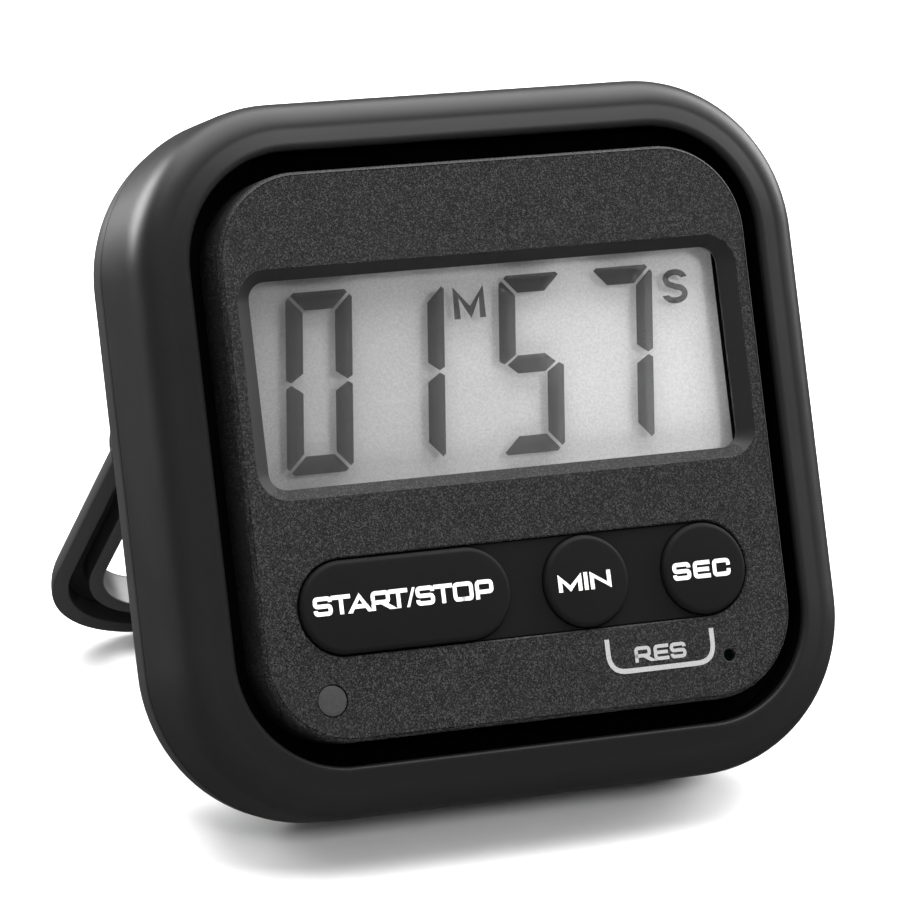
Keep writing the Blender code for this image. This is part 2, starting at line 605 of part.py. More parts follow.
def coil(start, end):
    """The negative spring: a cone of wire that widens towards its plate."""
    per_turn = 10
    count = SPRING_TURNS * per_turn
    points = []
    for step in range(count + 1):
        share = step / count
        angle = 2 * math.pi * step / per_turn
        radius = SPRING_TIP + (SPRING_BASE - SPRING_TIP) * share
        x = start + (end - start) * share
        points.append((x, CELL_Y + radius * math.cos(angle), CELL_Z + radius * math.sin(angle)))
    wire("battery_spring", points, SPRING_WIRE, NICKEL)


def battery_door():
    half_x, half_z = BAY_HALF_X + DOOR_MARGIN - GAP, BAY_HALF_Z + DOOR_MARGIN - GAP
    place = (0.0, ISLAND_Y, CELL_Z)
    plate = box((-half_x, DOOR_Y, CELL_Z - half_z), (half_x, ISLAND_Y, CELL_Z + half_z))
    made = piece("battery_door", plate, COVER_GREY, place)
    grip = [pill(-THUMB_REACH, THUMB_REACH, THUMB_RADIUS, y, CELL_Z, 8) for y in (ISLAND_Y - THUMB_DEEP, ISLAND_Y + 1)]
    cut(made, "thumb_recess", loft(grip))
    return made


def leads():
    """The two battery leads, from the contact tails down to the board's top edge."""
    plus, minus = contact_places()
    y = CONTACT_TAIL_Y - GAP - LEAD_RADIUS
    for name, x, paint in (("red_lead", plus, RED_LEAD), ("black_lead", minus, BLACK_LEAD)):
        side = math.copysign(1.0, x)
        route = [(x, y, CELL_Z)] + [(x - side * inward, y, CELL_Z - down) for inward, down in LEAD_ROUTE]
        route.append((x - side * LEAD_END_IN, BOARD_Y - GAP - LEAD_RADIUS, BOARD_HIGH - LEAD_END_LOW))
        wire(name, route, LEAD_RADIUS, paint)


# ---------------------------------------------------------------- magnets and buzzer

def magnets():
    for name, x in (("magnet_left", -MAGNET_X), ("magnet_right", MAGNET_X)):
        disc = rod("y", (x, MAGNET_Z), MAGNET_RADIUS, ISLAND_Y - MAGNET_THICK, ISLAND_Y)
        piece(name, disc, NICKEL)


def buzzer():
    back = ISLAND_Y - ISLAND_WALL - GAP
    piece("buzzer", rod("y", (0.0, BUZZER_Z), BUZZER_RADIUS, back - BUZZER_THICK, back, 24), BRASS)


# ---------------------------------------------------------------- stand

def stand_section():
    """The bar's section, as (inset from the loop's outline, thickness) pairs, front face first."""
    half = STAND_THICK / 2
    channel = STAND_CHANNEL_OUT + STAND_CHANNEL_WIDE
    floor = -half + STAND_CHANNEL_DEEP
    section = [
        (0.0, -half), (STAND_CHANNEL_OUT, -half), (STAND_CHANNEL_OUT, floor),
        (channel, floor), (channel, -half), (STAND_BAR, -half),
        (STAND_BAR, half - BACK_CHAMFER), (STAND_BAR - BACK_CHAMFER, half)]
    for step in range(4):
        angle = math.radians(90 - 90 * step / 4)
        section.append((BACK_ROUND * (1 - math.cos(angle)), half - BACK_ROUND * (1 - math.sin(angle))))
    return section


def stand_stations():
    """The loop's outline folded down from the hinge, as (x, z, inward x, inward z)."""
    stations = []
    reach = STAND_HALF_X - STAND_CORNER
    drop = STAND_LENGTH - STAND_CORNER
    stations.append((-STAND_HALF_X, 0.0, 1.0, 0.0))
    for side in (-1, 1):
        for step in range(CORNER_STEPS + 1):
            share = step if side < 0 else CORNER_STEPS - step
            angle = math.radians(90 * share / CORNER_STEPS)
            across, down = math.cos(angle), math.sin(angle)
            x, z = side * (reach + STAND_CORNER * across), -(drop + STAND_CORNER * down)
            stations.append((x, z, -side * across, down))
    stations.append((STAND_HALF_X, 0.0, -1.0, 0.0))
    return stations


def knuckle_outline(x):
    """The leg's upper end: round about the pin, with a heel that meets the cover when the stand is open."""
    radius = STAND_THICK / 2 - KNUCKLE_INSET
    points = []
    steps = 10
    start = 180 - STAND_OPEN
    for step in range(steps + 1):
        angle = math.radians(start + (360 - start) * step / steps)
        points.append(Vector((x, radius * math.cos(angle), radius * math.sin(angle))))
    opening = math.radians(STAND_OPEN)
    heel = radius * (1 + math.cos(opening)) / math.sin(opening)
    points.append(Vector((x, radius, heel)))
    return points


def stand():
    loops = []
    for x, z, inward_x, inward_z in stand_stations():
        loops.append([Vector((x + o * inward_x, t, z + o * inward_z)) for o, t in stand_section()])
    made = piece("stand", loft(loops), COVER_GREY)
    knuckles, bores = bmesh.new(), bmesh.new()
    inner = STAND_HALF_X - STAND_BAR
    for side in (-1, 1):
        ends = sorted((side * (inner + 2 * KNUCKLE_INSET), side * (STAND_HALF_X - KNUCKLE_STEP)))
        loft([knuckle_outline(x) for x in ends], bm=knuckles)
        start, end = sorted((side * (inner - 1.0), side * (STAND_HALF_X - PIN_END)))
        rod("x", (0.0, 0.0), PIN_RADIUS + PIN_CLEAR, start, end, 12, bm=bores)
    for helper in (join(made, "knuckles", knuckles), cut(made, "pin_bores", bores)):
        helper.parent = made
    made.location = Vector((0.0, HINGE_Y, HINGE_Z)) * MM
    made.rotation_euler.x = math.radians(STAND_OPEN)
    for name, side in (("stand_pin_left", -1), ("stand_pin_right", 1)):
        ends = sorted((side * (ISLAND_HALF_X - ISLAND_WALL + 0.1), side * (STAND_HALF_X - PIN_END - GAP)))
        pin = rod("x", (HINGE_Y, HINGE_Z), PIN_RADIUS, *ends, 12)
        piece(name, pin, SCREW_STEEL)
    return made


# ---------------------------------------------------------------- how the timer stands

def opened(thickness, z):
    """A point of the stand's own frame, as (depth, height) in the case's frame with the stand open."""
    opening = math.radians(STAND_OPEN)
    y = HINGE_Y + thickness * math.cos(opening) - z * math.sin(opening)
    return Vector((y, HINGE_Z + thickness * math.sin(opening) + z * math.cos(opening)))


def lean_case():
    """Leans the case back until the rear cover's lower edge and the stand's foot are level.

    Both points are known in the case's frame, so the angle is that of the line between them.
    The lower edge then goes to z = 0, and the timer is centred front to back.
    """
    base = Vector((REAR_Y - REAR_EDGE, -(CASE_HALF_Z - REAR_EDGE / 2)))
    foot = opened(-STAND_THICK / 2, -STAND_LENGTH)
    tilt = math.atan2(foot.y - base.y, foot.x - base.x)
    front = min(
        y * math.cos(tilt) - (CASE_HALF_Z - inset) * math.sin(tilt) for inset, y in housing_front())
    feet = [opened(t, inset - STAND_LENGTH) for inset, t in stand_section()]
    back = max(point.x * math.cos(tilt) + point.y * math.sin(tilt) for point in feet)
    low = base.y * math.cos(tilt) - base.x * math.sin(tilt)
    CASE.location = (0.0, -(front + back) / 2 * MM, -low * MM)
    CASE.rotation_euler.x = -tilt


CASE = bpy.data.objects.new("case", None)
TIMER.objects.link(CASE)
front_housing()
face_panel()
display()
keypad_sheet()
for key_name, key_left, key_right in KEYS:
    key(key_name, key_left, key_right)
signal_led()
board()
rear_cover()
case_screws()
battery()
battery_door()
leads()
magnets()
buzzer()
stand()
lean_case()
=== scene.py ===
# %% [markdown]
# # A digital kitchen timer, leaning on its folding stand
#
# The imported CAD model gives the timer's real sizes, its joints and its collision. This lesson gives
# it its looks: each visible plastic, rubber and printed piece is worked out again as a fine surface
# with numpy and finished with node materials. The first cell loads the frame.

# %% Load the frame
import json
import math

import bmesh
import bpy
import numpy as np
from mathutils import Matrix, Vector


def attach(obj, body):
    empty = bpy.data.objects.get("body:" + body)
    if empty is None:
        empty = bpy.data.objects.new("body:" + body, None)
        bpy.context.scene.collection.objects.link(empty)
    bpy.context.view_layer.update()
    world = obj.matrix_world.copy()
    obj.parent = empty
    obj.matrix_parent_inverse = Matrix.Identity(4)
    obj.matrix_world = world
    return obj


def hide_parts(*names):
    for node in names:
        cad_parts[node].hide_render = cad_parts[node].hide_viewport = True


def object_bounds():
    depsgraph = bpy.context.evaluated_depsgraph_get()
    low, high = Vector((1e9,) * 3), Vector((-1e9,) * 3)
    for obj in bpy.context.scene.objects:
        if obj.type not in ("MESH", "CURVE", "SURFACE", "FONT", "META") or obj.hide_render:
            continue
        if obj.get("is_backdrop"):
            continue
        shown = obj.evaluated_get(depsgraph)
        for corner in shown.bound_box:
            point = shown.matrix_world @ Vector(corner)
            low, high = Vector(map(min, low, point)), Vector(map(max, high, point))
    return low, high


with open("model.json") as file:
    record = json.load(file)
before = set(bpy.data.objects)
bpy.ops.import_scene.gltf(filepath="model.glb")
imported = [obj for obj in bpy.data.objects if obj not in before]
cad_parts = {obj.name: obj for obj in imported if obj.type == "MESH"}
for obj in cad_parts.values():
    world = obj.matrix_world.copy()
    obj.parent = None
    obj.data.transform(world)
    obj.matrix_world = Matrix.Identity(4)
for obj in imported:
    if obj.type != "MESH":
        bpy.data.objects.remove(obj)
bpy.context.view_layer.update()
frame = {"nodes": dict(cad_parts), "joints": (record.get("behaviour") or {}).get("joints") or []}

# %% [markdown]
# ## The case's own frame
#
# The real case leans back on its stand, so none of its edges run along the world's axes. It is
# easier to draw it upright: x to the right, y back into the case from the panel's face, z up along
# the face, in millimetres. The keys slide straight into the case, so their joint's axis is the
# case's y axis, and the panel's front face gives the origin.

# %% Axes and origin
MM = 0.001
JOINTS = {joint["name"]: joint for joint in frame["joints"]}
INWARD = np.array(JOINTS["start_stop_press"]["axis"])
SIDEWAYS = np.array([1.0, 0.0, 0.0])
AXES = np.stack([SIDEWAYS, INWARD, np.cross(SIDEWAYS, INWARD)])


def node_points(name):
    """A CAD node's vertices along the case's axes, in millimetres from the world's origin."""
    mesh = frame["nodes"][name].data
    flat = np.empty(3 * len(mesh.vertices), np.float32)
    mesh.vertices.foreach_get("co", flat)
    return flat.reshape(-1, 3).astype(float) @ AXES.T / MM


face = node_points("face_panel")
ORIGIN = (face.min(0) + face.max(0)) / 2
ORIGIN[1] = face[:, 1].min()


def case_box(name):
    """A CAD node's lowest and highest corner in the case's frame, in millimetres."""
    points = node_points(name) - ORIGIN
    return points.min(0), points.max(0)


def to_world(points):
    """Points of the case's frame, in millimetres, as points of the world, in metres."""
    return (points + ORIGIN) @ AXES * MM


LEAN = math.degrees(math.asin(-INWARD[2]))
print("the case leans back", round(LEAN, 2), "degrees")

# %% [markdown]
# ## Skins from grids
#
# Almost every piece of this timer is a profile carried around an outline: the ring, the panel, the
# keys, the cover. So one helper turns a grid of points into a closed skin. Rows are steps along the
# profile, columns are steps around the outline. Whole arrays of indices make the faces, and Blender's
# normal recalculation turns them to point outwards.


# %% Grid to mesh
def skin(grid, closed_rows=False):
    """Vertices and faces of a (rows, columns, 3) grid that closes around its columns.

    Each face joins a point, its neighbour in the next column, and the two points of the next row.
    The first and last rows are capped, unless closed_rows joins them to each other.
    """
    rows, columns = grid.shape[:2]
    index = np.arange(rows * columns).reshape(rows, columns)
    near = index if closed_rows else index[:-1]
    far = np.roll(index, -1, 0) if closed_rows else index[1:]
    quads = np.stack([near, np.roll(near, -1, 1), np.roll(far, -1, 1), far], -1).reshape(-1, 4)
    faces = quads.tolist()
    if not closed_rows:
        faces += [index[0, ::-1].tolist(), index[-1].tolist()]
    return grid.reshape(-1, 3), faces


def gather(skins):
    """Several skins as one list of vertices and one of faces."""
    vertices, faces, start = [], [], 0
    for points, polygons in skins:
        vertices.append(points)
        faces += [[corner + start for corner in polygon] for polygon in polygons]
        start += len(points)
    return np.concatenate(vertices), faces


def outward(bm):
    """Turns each closed island of faces so that it points out of the solid."""
    bmesh.ops.remove_doubles(bm, verts=bm.verts, dist=1e-7)
    bmesh.ops.dissolve_degenerate(bm, edges=bm.edges, dist=1e-8)
    bmesh.ops.recalc_face_normals(bm, faces=bm.faces)


def mesh_object(name, skins, sharp=32.0):
    """An object at the world's origin made of the skins, shaded smooth up to the sharp angle."""
    vertices, faces = gather(skins)
    mesh = bpy.data.meshes.new(name)
    mesh.from_pydata(to_world(vertices), [], faces)
    bm = bmesh.new()
    bm.from_mesh(mesh)
    outward(bm)
    bm.to_mesh(mesh)
    bm.free()
    mesh.shade_smooth()
    mesh.set_sharp_from_angle(angle=math.radians(sharp))
    made = bpy.data.objects.new(name, mesh)
    bpy.context.scene.collection.objects.link(made)
    return made


def carve(made, operation, skins, sharp=32.0):
    """Cuts the skins out of an object (DIFFERENCE), or joins them to it (UNION), for good."""
    tool = mesh_object("tool", skins)
    step = made.modifiers.new("carve", "BOOLEAN")
    step.operation = operation
    step.solver = "EXACT"
    step.object = tool
    depsgraph = bpy.context.evaluated_depsgraph_get()
    mesh = bpy.data.meshes.new_from_object(made.evaluated_get(depsgraph))
    made.modifiers.clear()
    made.data = mesh
    mesh.shade_smooth()
    mesh.set_sharp_from_angle(angle=math.radians(sharp))
    bpy.data.objects.remove(tool)


def report(made):
    print(f"{made.name}: {len(made.data.polygons)} faces")


# %% [markdown]
# ## Outlines and profiles
#
# A rounded rectangle is four corner centres and a unit direction that turns once around. A profile
# is a row of (inset, depth) pairs: the inset moves a point in from the outline, the depth moves it
# back into the case. Real moulded edges are never sharp, so a second helper rounds the corners of a
# profile with short arcs.

# %% Outline and profile helpers
CORNER_FACES = 22


def rounded_ring(half_x, half_z, corner, profile, centre_z=0.0, top_corner=None, faces=CORNER_FACES):
    """A profile carried around a rounded rectangle.

    A point is the corner's centre, plus the corner radius less the inset, times the direction
    (cos t, sin t), with t running through a quarter turn at each corner.
    """
    profile = np.asarray(profile, float)
    turn = (np.arange(4)[:, None] + np.linspace(0, 1, faces + 1)).ravel() * math.pi / 2
    side_x = np.repeat([1, -1, -1, 1], faces + 1)
    side_z = np.repeat([1, 1, -1, -1], faces + 1)
    radius = np.where(side_z > 0, corner if top_corner is None else top_corner, corner)
    reach = radius[None, :] - profile[:, :1]
    grid = np.empty((len(profile), len(turn), 3))
    grid[..., 0] = side_x * (half_x - radius) + reach * np.cos(turn)
    grid[..., 1] = profile[:, 1:]
    grid[..., 2] = centre_z + side_z * (half_z - radius) + reach * np.sin(turn)
    return grid


def pill_ring(left, right, radius, profile, centre_z, faces=40):
    """A profile carried around a pill: two half circles about (left, z) and (right, z)."""
    profile = np.asarray(profile, float)
    turn = np.linspace(-math.pi / 2, math.pi / 2, faces + 1)
    turn = np.concatenate([turn, turn + math.pi])
    centre = np.repeat([right, left], faces + 1)
    reach = radius - profile[:, :1]
    grid = np.empty((len(profile), len(turn), 3))
    grid[..., 0] = centre + reach * np.cos(turn)
    grid[..., 1] = profile[:, 1:]
    grid[..., 2] = centre_z + reach * np.sin(turn)
    return grid


def turned(x, z, profile, faces=48):
    """A profile of (radius, depth) pairs turned about the line through (x, z) along y."""
    profile = np.asarray(profile, float)
    turn = np.arange(faces) * 2 * math.pi / faces
    grid = np.empty((len(profile), faces, 3))
    grid[..., 0] = x + profile[:, :1] * np.cos(turn)
    grid[..., 1] = profile[:, 1:]
    grid[..., 2] = z + profile[:, :1] * np.sin(turn)
    return grid


def softened(points, radii, steps=5, closed=False):
    """A polyline with each corner replaced by a short curve.

    Each corner is a quadratic curve B(t) = (1-t)^2 A + 2t(1-t) P + t^2 C, where P is the corner
    and A and C lie its radius away along the two sides. A radius of 0 keeps the corner sharp.
    """
    points = np.asarray(points, float)
    before, after = np.roll(points, 1, 0), np.roll(points, -1, 0)
    rounded_points = []
    share = np.linspace(0, 1, steps + 1)[:, None]
    for number, (p, radius) in enumerate(zip(points, radii)):
        at_end = not closed and number in (0, len(points) - 1)
        if radius == 0 or at_end:
            rounded_points.append(p[None])
            continue
        a, c = before[number] - p, after[number] - p
        a, c = p + a / np.linalg.norm(a) * radius, p + c / np.linalg.norm(c) * radius
        rounded_points.append((1 - share) ** 2 * a + 2 * share * (1 - share) * p + share ** 2 * c)
    return np.concatenate(rounded_points)


def block(low, high, corner=0.4, faces=4):
    """A block along y with its four long edges rounded, as a skin."""
    (x0, y0, z0), (x1, y1, z1) = low, high
    profile = [(0, y0), (0, y1)]
    return skin(rounded_ring((x1 - x0) / 2, (z1 - z0) / 2, corner, profile, (z0 + z1) / 2, faces=faces)
                + np.array([(x0 + x1) / 2, 0, 0]))


# %% [markdown]
# ## Finishes
#
# Every moulded plastic on the timer has a grain of about a tenth of a millimetre, and what tells one
# from another is how dark it is, how wide its gloss is, and how deep the grain goes. So one function
# mixes two noises: a fine one drives the bump and the speckle of the colour, and a broad one drives
# slow changes of gloss, as from handling. All read Object coordinates, which here are metres of the
# timer itself.


# %% The moulded finish
def scale_for(size):
    """A noise's scale for grain of the given size in millimetres, on Object coordinates in metres."""
    return 1 / (size * MM)


def new_material(name):
    made = bpy.data.materials.new(name)
    made.use_nodes = True
    return made, made.node_tree.nodes, made.node_tree.links, made.node_tree.nodes["Principled BSDF"]


def ramp(nodes, stops):
    """A colour ramp of greys or colours, from (position, colour) pairs."""
    made = nodes.new("ShaderNodeValToRGB")
    elements = made.color_ramp.elements
    while len(elements) < len(stops):
        elements.new(0.5)
    for element, (position, colour) in zip(elements, stops):
        element.position = position
        element.color = (*colour, 1.0) if hasattr(colour, "__len__") else (colour, colour, colour, 1.0)
    return made


def moulded(name, dark, light, gloss, grain=0.12, depth=0.01, speck=None, **sockets):
    """A moulded or painted finish.

    dark and light are the colour's two ends, gloss the lowest and highest roughness, grain the size
    of the grain and depth its height in millimetres. speck is (size, share, colour) of the few
    grains that catch the light. The other sockets take plain values.
    """
    made, nodes, links, shader = new_material(name)
    where = nodes.new("ShaderNodeTexCoord")
    fine = nodes.new("ShaderNodeTexNoise")
    fine.inputs["Scale"].default_value = scale_for(grain)
    fine.inputs["Detail"].default_value = 2.0
    broad = nodes.new("ShaderNodeTexNoise")
    broad.inputs["Scale"].default_value = scale_for(9.0)
    broad.inputs["Detail"].default_value = 4.0
    links.new(where.outputs["Object"], fine.inputs["Vector"])
    links.new(where.outputs["Object"], broad.inputs["Vector"])
    colour = ramp(nodes, [(0.35, dark), (0.68, light)])
    links.new(fine.outputs["Fac"], colour.inputs["Fac"])
    colour_out = colour.outputs["Color"]
    if speck:
        size, share, bright = speck
        cells = nodes.new("ShaderNodeTexVoronoi")
        cells.inputs["Scale"].default_value = scale_for(size)
        links.new(where.outputs["Object"], cells.inputs["Vector"])
        few = ramp(nodes, [(1 - share, 0.0), (1 - share / 2, 1.0)])
        links.new(cells.outputs["Color"], few.inputs["Fac"])
        blend = nodes.new("ShaderNodeMix")
        blend.data_type = "RGBA"
        links.new(few.outputs["Color"], blend.inputs["Factor"])
        links.new(colour_out, blend.inputs[6])
        blend.inputs[7].default_value = (*bright, 1.0)
        colour_out = blend.outputs[2]
    links.new(colour_out, shader.inputs["Base Color"])
    rough = nodes.new("ShaderNodeMapRange")
    rough.inputs["From Min"].default_value = 0.3
    rough.inputs["From Max"].default_value = 0.7
    rough.inputs["To Min"].default_value = gloss[0]
    rough.inputs["To Max"].default_value = gloss[1]
    links.new(broad.outputs["Fac"], rough.inputs["Value"])
    links.new(rough.outputs["Result"], shader.inputs["Roughness"])
    bump = nodes.new("ShaderNodeBump")
    bump.inputs["Strength"].default_value = 1.0
    bump.inputs["Distance"].default_value = depth * MM
    links.new(fine.outputs["Fac"], bump.inputs["Height"])
    links.new(bump.outputs["Normal"], shader.inputs["Normal"])
    for socket, value in sockets.items():
        shader.inputs[socket.replace("_", " ")].default_value = value
    return made


def grey(value, warmth=0.0):
    return (value * (1 + warmth), value, value * (1 - warmth))


# %% [markdown]
# ### The timer's finishes
#
# The ring is a soft-touch coat: very dark, with a wide gloss. The panel is spark-eroded black with a
# few bright grains. The cover and the stand are plain dark plastic with a finer grain and more gloss.

# %% Make the finishes
SOFT_TOUCH = moulded(
    "soft_touch", grey(0.007), grey(0.011), (0.38, 0.46), 0.09, 0.006, Specular_IOR_Level=0.3)
# painted shade: a near-black colour for the faces deep in the groove round the panel, where shadow falls
GROOVE_PAINTED_SHADE = moulded(
    "groove_painted_shade", grey(0.0006), grey(0.001), (0.8, 0.9), 0.1, 0.004, Specular_IOR_Level=0.05)
PANEL_TEXTURE = moulded(
    "panel_texture", grey(0.001), grey(0.018), (0.5, 0.62), 0.12, 0.045, (0.13, 0.4, grey(0.036)),
    Specular_IOR_Level=0.25)
BEVEL_BLACK = moulded(
    "bevel_black", grey(0.009), grey(0.013), (0.4, 0.5), 0.1, 0.006, Specular_IOR_Level=0.3)
COVER_PLASTIC = moulded("cover_plastic", grey(0.018), grey(0.027), (0.34, 0.42), 0.08, 0.004)
KEY_RUBBER = moulded(
    "key_rubber_black", grey(0.0045), grey(0.0065), (0.55, 0.68), 0.1, 0.004, Specular_IOR_Level=0.12)
# painted shade: a darker colour for the faces inside the stand's channel
CHANNEL_PAINTED_SHADE = moulded(
    "channel_painted_shade", grey(0.008), grey(0.012), (0.5, 0.6), 0.1, 0.004, Specular_IOR_Level=0.2)
LAMP_LENS = moulded(
    "lamp_lens_grey", grey(0.034), grey(0.04), (0.45, 0.55), 0.3, 0.002, Specular_IOR_Level=0.3)
STEEL = moulded("zinc_steel", grey(0.42, 0.01), grey(0.55, 0.01), (0.26, 0.42), 0.3, 0.003, Metallic=1.0)
NICKEL = moulded("nickel_plate", grey(0.6, 0.03), grey(0.7, 0.03), (0.18, 0.32), 0.4, 0.002, Metallic=1.0)
BRASS = moulded("buzzer_brass", (0.6, 0.42, 0.16), (0.75, 0.55, 0.24), (0.3, 0.45), 0.3, 0.003, Metallic=1.0)
BOARD = moulded("board_lacquer", (0.006, 0.09, 0.035), (0.012, 0.16, 0.06), (0.3, 0.42), 0.5, 0.004)
CHIP = moulded("chip_resin", grey(0.008), grey(0.014), (0.2, 0.35), 0.6, 0.01)
CONTACT = moulded("contact_rubber_grey", grey(0.09), grey(0.13), (0.6, 0.8), 0.2, 0.006)
SLEEVE = moulded("cell_sleeve_grey", (0.18, 0.2, 0.23), (0.24, 0.26, 0.29), (0.25, 0.35), 0.8, 0.002)
RED = moulded("lead_red", (0.38, 0.012, 0.01), (0.48, 0.02, 0.016), (0.35, 0.5), 0.3, 0.003)
BLACK = moulded("lead_black", grey(0.01), grey(0.016), (0.35, 0.5), 0.3, 0.003)
WHITE_INK = moulded("white_ink", grey(0.86), grey(0.95), (0.4, 0.5), 0.08, 0.003)
GREY_INK = moulded("grey_ink", grey(0.26), grey(0.38), (0.45, 0.6), 0.08, 0.003)
WINDOW = moulded("window_clear", grey(0.02), grey(0.025), (0.12, 0.16), 0.4, 0.001, Alpha=0.05)
CELL_GLASS = moulded("cell_glass", grey(0.02), grey(0.025), (0.12, 0.16), 0.4, 0.001, Alpha=0.03)
print(len(bpy.data.materials), "materials so far")


# %% [markdown]
# ### The display's back sheet
#
# Behind the liquid crystal lies a matt silvery sheet. It has a fine sparkle, and it is painted lighter
# towards its right end, a slow gradient along x: painted light for the brighter light and glare there.

# %% Back sheet
def back_sheet():
    made, nodes, links, shader = new_material("display_back_sheet")
    where = nodes.new("ShaderNodeTexCoord")
    split = nodes.new("ShaderNodeSeparateXYZ")
    links.new(where.outputs["Object"], split.inputs["Vector"])
    across = nodes.new("ShaderNodeMapRange")
    across.inputs["From Min"].default_value = -25 * MM
    across.inputs["From Max"].default_value = 25 * MM
    across.inputs["To Min"].default_value = 0.0
    across.inputs["To Max"].default_value = 1.0
    links.new(split.outputs["X"], across.inputs["Value"])
    # painted light: the sheet's colour runs from dark at the left to light at the right, standing in for
    # brighter light and glare there
    lighter = ramp(nodes, [(0.0, grey(0.30)), (1.0, grey(0.70))])
    links.new(across.outputs["Result"], lighter.inputs["Fac"])
    sparkle = nodes.new("ShaderNodeTexNoise")
    sparkle.inputs["Scale"].default_value = scale_for(0.22)
    sparkle.inputs["Detail"].default_value = 3.0
    links.new(where.outputs["Object"], sparkle.inputs["Vector"])
    grain = ramp(nodes, [(0.36, grey(0.84)), (0.64, grey(1.0))])
    links.new(sparkle.outputs["Fac"], grain.inputs["Fac"])
    blend = nodes.new("ShaderNodeMix")
    blend.data_type = "RGBA"
    blend.blend_type = "MULTIPLY"
    blend.inputs["Factor"].default_value = 1.0
    links.new(lighter.outputs["Color"], blend.inputs[6])
    links.new(grain.outputs["Color"], blend.inputs[7])
    links.new(blend.outputs[2], shader.inputs["Base Color"])
    shader.inputs["Roughness"].default_value = 0.5
    bump = nodes.new("ShaderNodeBump")
    bump.inputs["Distance"].default_value = 0.006 * MM
    links.new(sparkle.outputs["Fac"], bump.inputs["Height"])
    links.new(bump.outputs["Normal"], shader.inputs["Normal"])
    return made


BACK_SHEET = back_sheet()


def liquid_crystal():
    """Dark grey that lets more light through towards the right: painted light, a gradient along x that stands
    in for the brighter light and glare at the display's right end.
    """
    made, nodes, links, shader = new_material("liquid_crystal")
    where = nodes.new("ShaderNodeTexCoord")
    split = nodes.new("ShaderNodeSeparateXYZ")
    links.new(where.outputs["Object"], split.inputs["Vector"])
    # painted light: the segments grow more see-through towards the right, so they look lighter there
    across = nodes.new("ShaderNodeMapRange")
    across.inputs["From Min"].default_value = -22 * MM
    across.inputs["From Max"].default_value = 20 * MM
    across.inputs["To Min"].default_value = 0.66  # of each of the plate's two faces
    across.inputs["To Max"].default_value = 0.41
    links.new(split.outputs["X"], across.inputs["Value"])
    links.new(across.outputs["Result"], shader.inputs["Alpha"])
    cloud = nodes.new("ShaderNodeTexNoise")
    cloud.inputs["Scale"].default_value = scale_for(0.25)
    links.new(where.outputs["Object"], cloud.inputs["Vector"])
    tone = ramp(nodes, [(0.3, grey(0.036)), (0.7, grey(0.046))])
    links.new(cloud.outputs["Fac"], tone.inputs["Fac"])
    links.new(tone.outputs["Color"], shader.inputs["Base Color"])
    shader.inputs["Roughness"].default_value = 0.6
    shader.inputs["Specular IOR Level"].default_value = 0.1
    return made


SEGMENT = liquid_crystal()


# %% Give a piece its finish and its body, and hide the CAD nodes it stands for
def settle(made, finish, slot, body, *nodes):
    if not made.data.materials:
        made.data.materials.append(finish)
    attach(made, body)
    if nodes:
        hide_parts(*nodes)
    report(made)
    return made


# %% [markdown]
# ## The ring
#
# The front housing is a thick ring with soft shoulders. From its seam the side runs straight, rolls
# over a shoulder to a low ridge, crosses a narrow band to a rounded lip, and drops into the groove
# round the panel. It is one closed profile carried around the case's outline. A hairline step beside
# the seam is what makes the parting line look double.

# %% Front housing
low, high = case_box("front_housing")
CASE_HALF_X, CASE_HALF_Z = high[0], high[2]
SEAM_Y = high[1]
CASE_CORNER = 16.4
SEAM_LAP = 0.18  # the ring reaches this much further back than in CAD, to leave only a hairline
RIDGE_INSET, RIDGE_Y = 3.0, 1.95
SHOULDER_DEPTH, SHOULDER_SQUARENESS = 5.0, 2.8
SHOULDER_START = 9.0  # degrees of the shoulder's arc left out at the ridge, so that it keeps a slope there
LIP_INSET, LIP_Y, LIP_ROUND = 5.2, 1.3, 0.85
GROOVE_Y, SHELF_INSET, SHELF_BACK = 5.5, 8.9, 7.0
WALL = 2.0
HAIRLINE = 0.6


def shoulder(steps=26):
    """From the side to the ridge: a quarter of a squarish ellipse less its last degrees.

    A point is (1 - cos^k t, 1 - sin^k t) with k = 2 / squareness, so 2 would be a plain ellipse,
    and the curve is then stretched to end on the ridge.
    """
    power = 2 / SHOULDER_SQUARENESS
    angle = np.radians(np.linspace(0, 90 - SHOULDER_START, steps))
    inset, y = 1 - np.cos(angle) ** power, 1 - np.sin(angle) ** power
    inset = inset / inset[-1] * RIDGE_INSET
    y = RIDGE_Y + (y - y[-1]) / (y[0] - y[-1]) * SHOULDER_DEPTH
    return np.stack([inset, y], -1)


seam = SEAM_Y + SEAM_LAP
side = np.array(
    [(0.4, seam), (0.12, seam), (0.0, seam - 0.12), (0.0, seam - HAIRLINE), (0.13, seam - HAIRLINE - 0.06),
     (0.0, seam - HAIRLINE - 0.14), (0.0, RIDGE_Y + SHOULDER_DEPTH + 0.5)])
rise = shoulder()
band = softened(
    [rise[-2], rise[-1], (LIP_INSET, LIP_Y), (LIP_INSET, GROOVE_Y), (SHELF_INSET, GROOVE_Y),
     (SHELF_INSET, SHELF_BACK), (WALL + 1.4, SHELF_BACK), (WALL, SHELF_BACK + 1.4), (WALL, seam)],
    [0, 0.25, LIP_ROUND, 0, 0, 0, 0, 0, 0], steps=8)[1:]
ring_profile = np.concatenate([side, rise[:-1], band])
ring_grid = rounded_ring(CASE_HALF_X, CASE_HALF_Z, CASE_CORNER, ring_profile)
ring = mesh_object("housing_ring", [skin(ring_grid, closed_rows=True)])
ring.data.materials.append(SOFT_TOUCH)
ring.data.materials.append(GROOVE_PAINTED_SHADE)


def around_case(profile):
    """A profile carried around the case's outline, as a skin."""
    return skin(rounded_ring(CASE_HALF_X, CASE_HALF_Z, CASE_CORNER, profile))


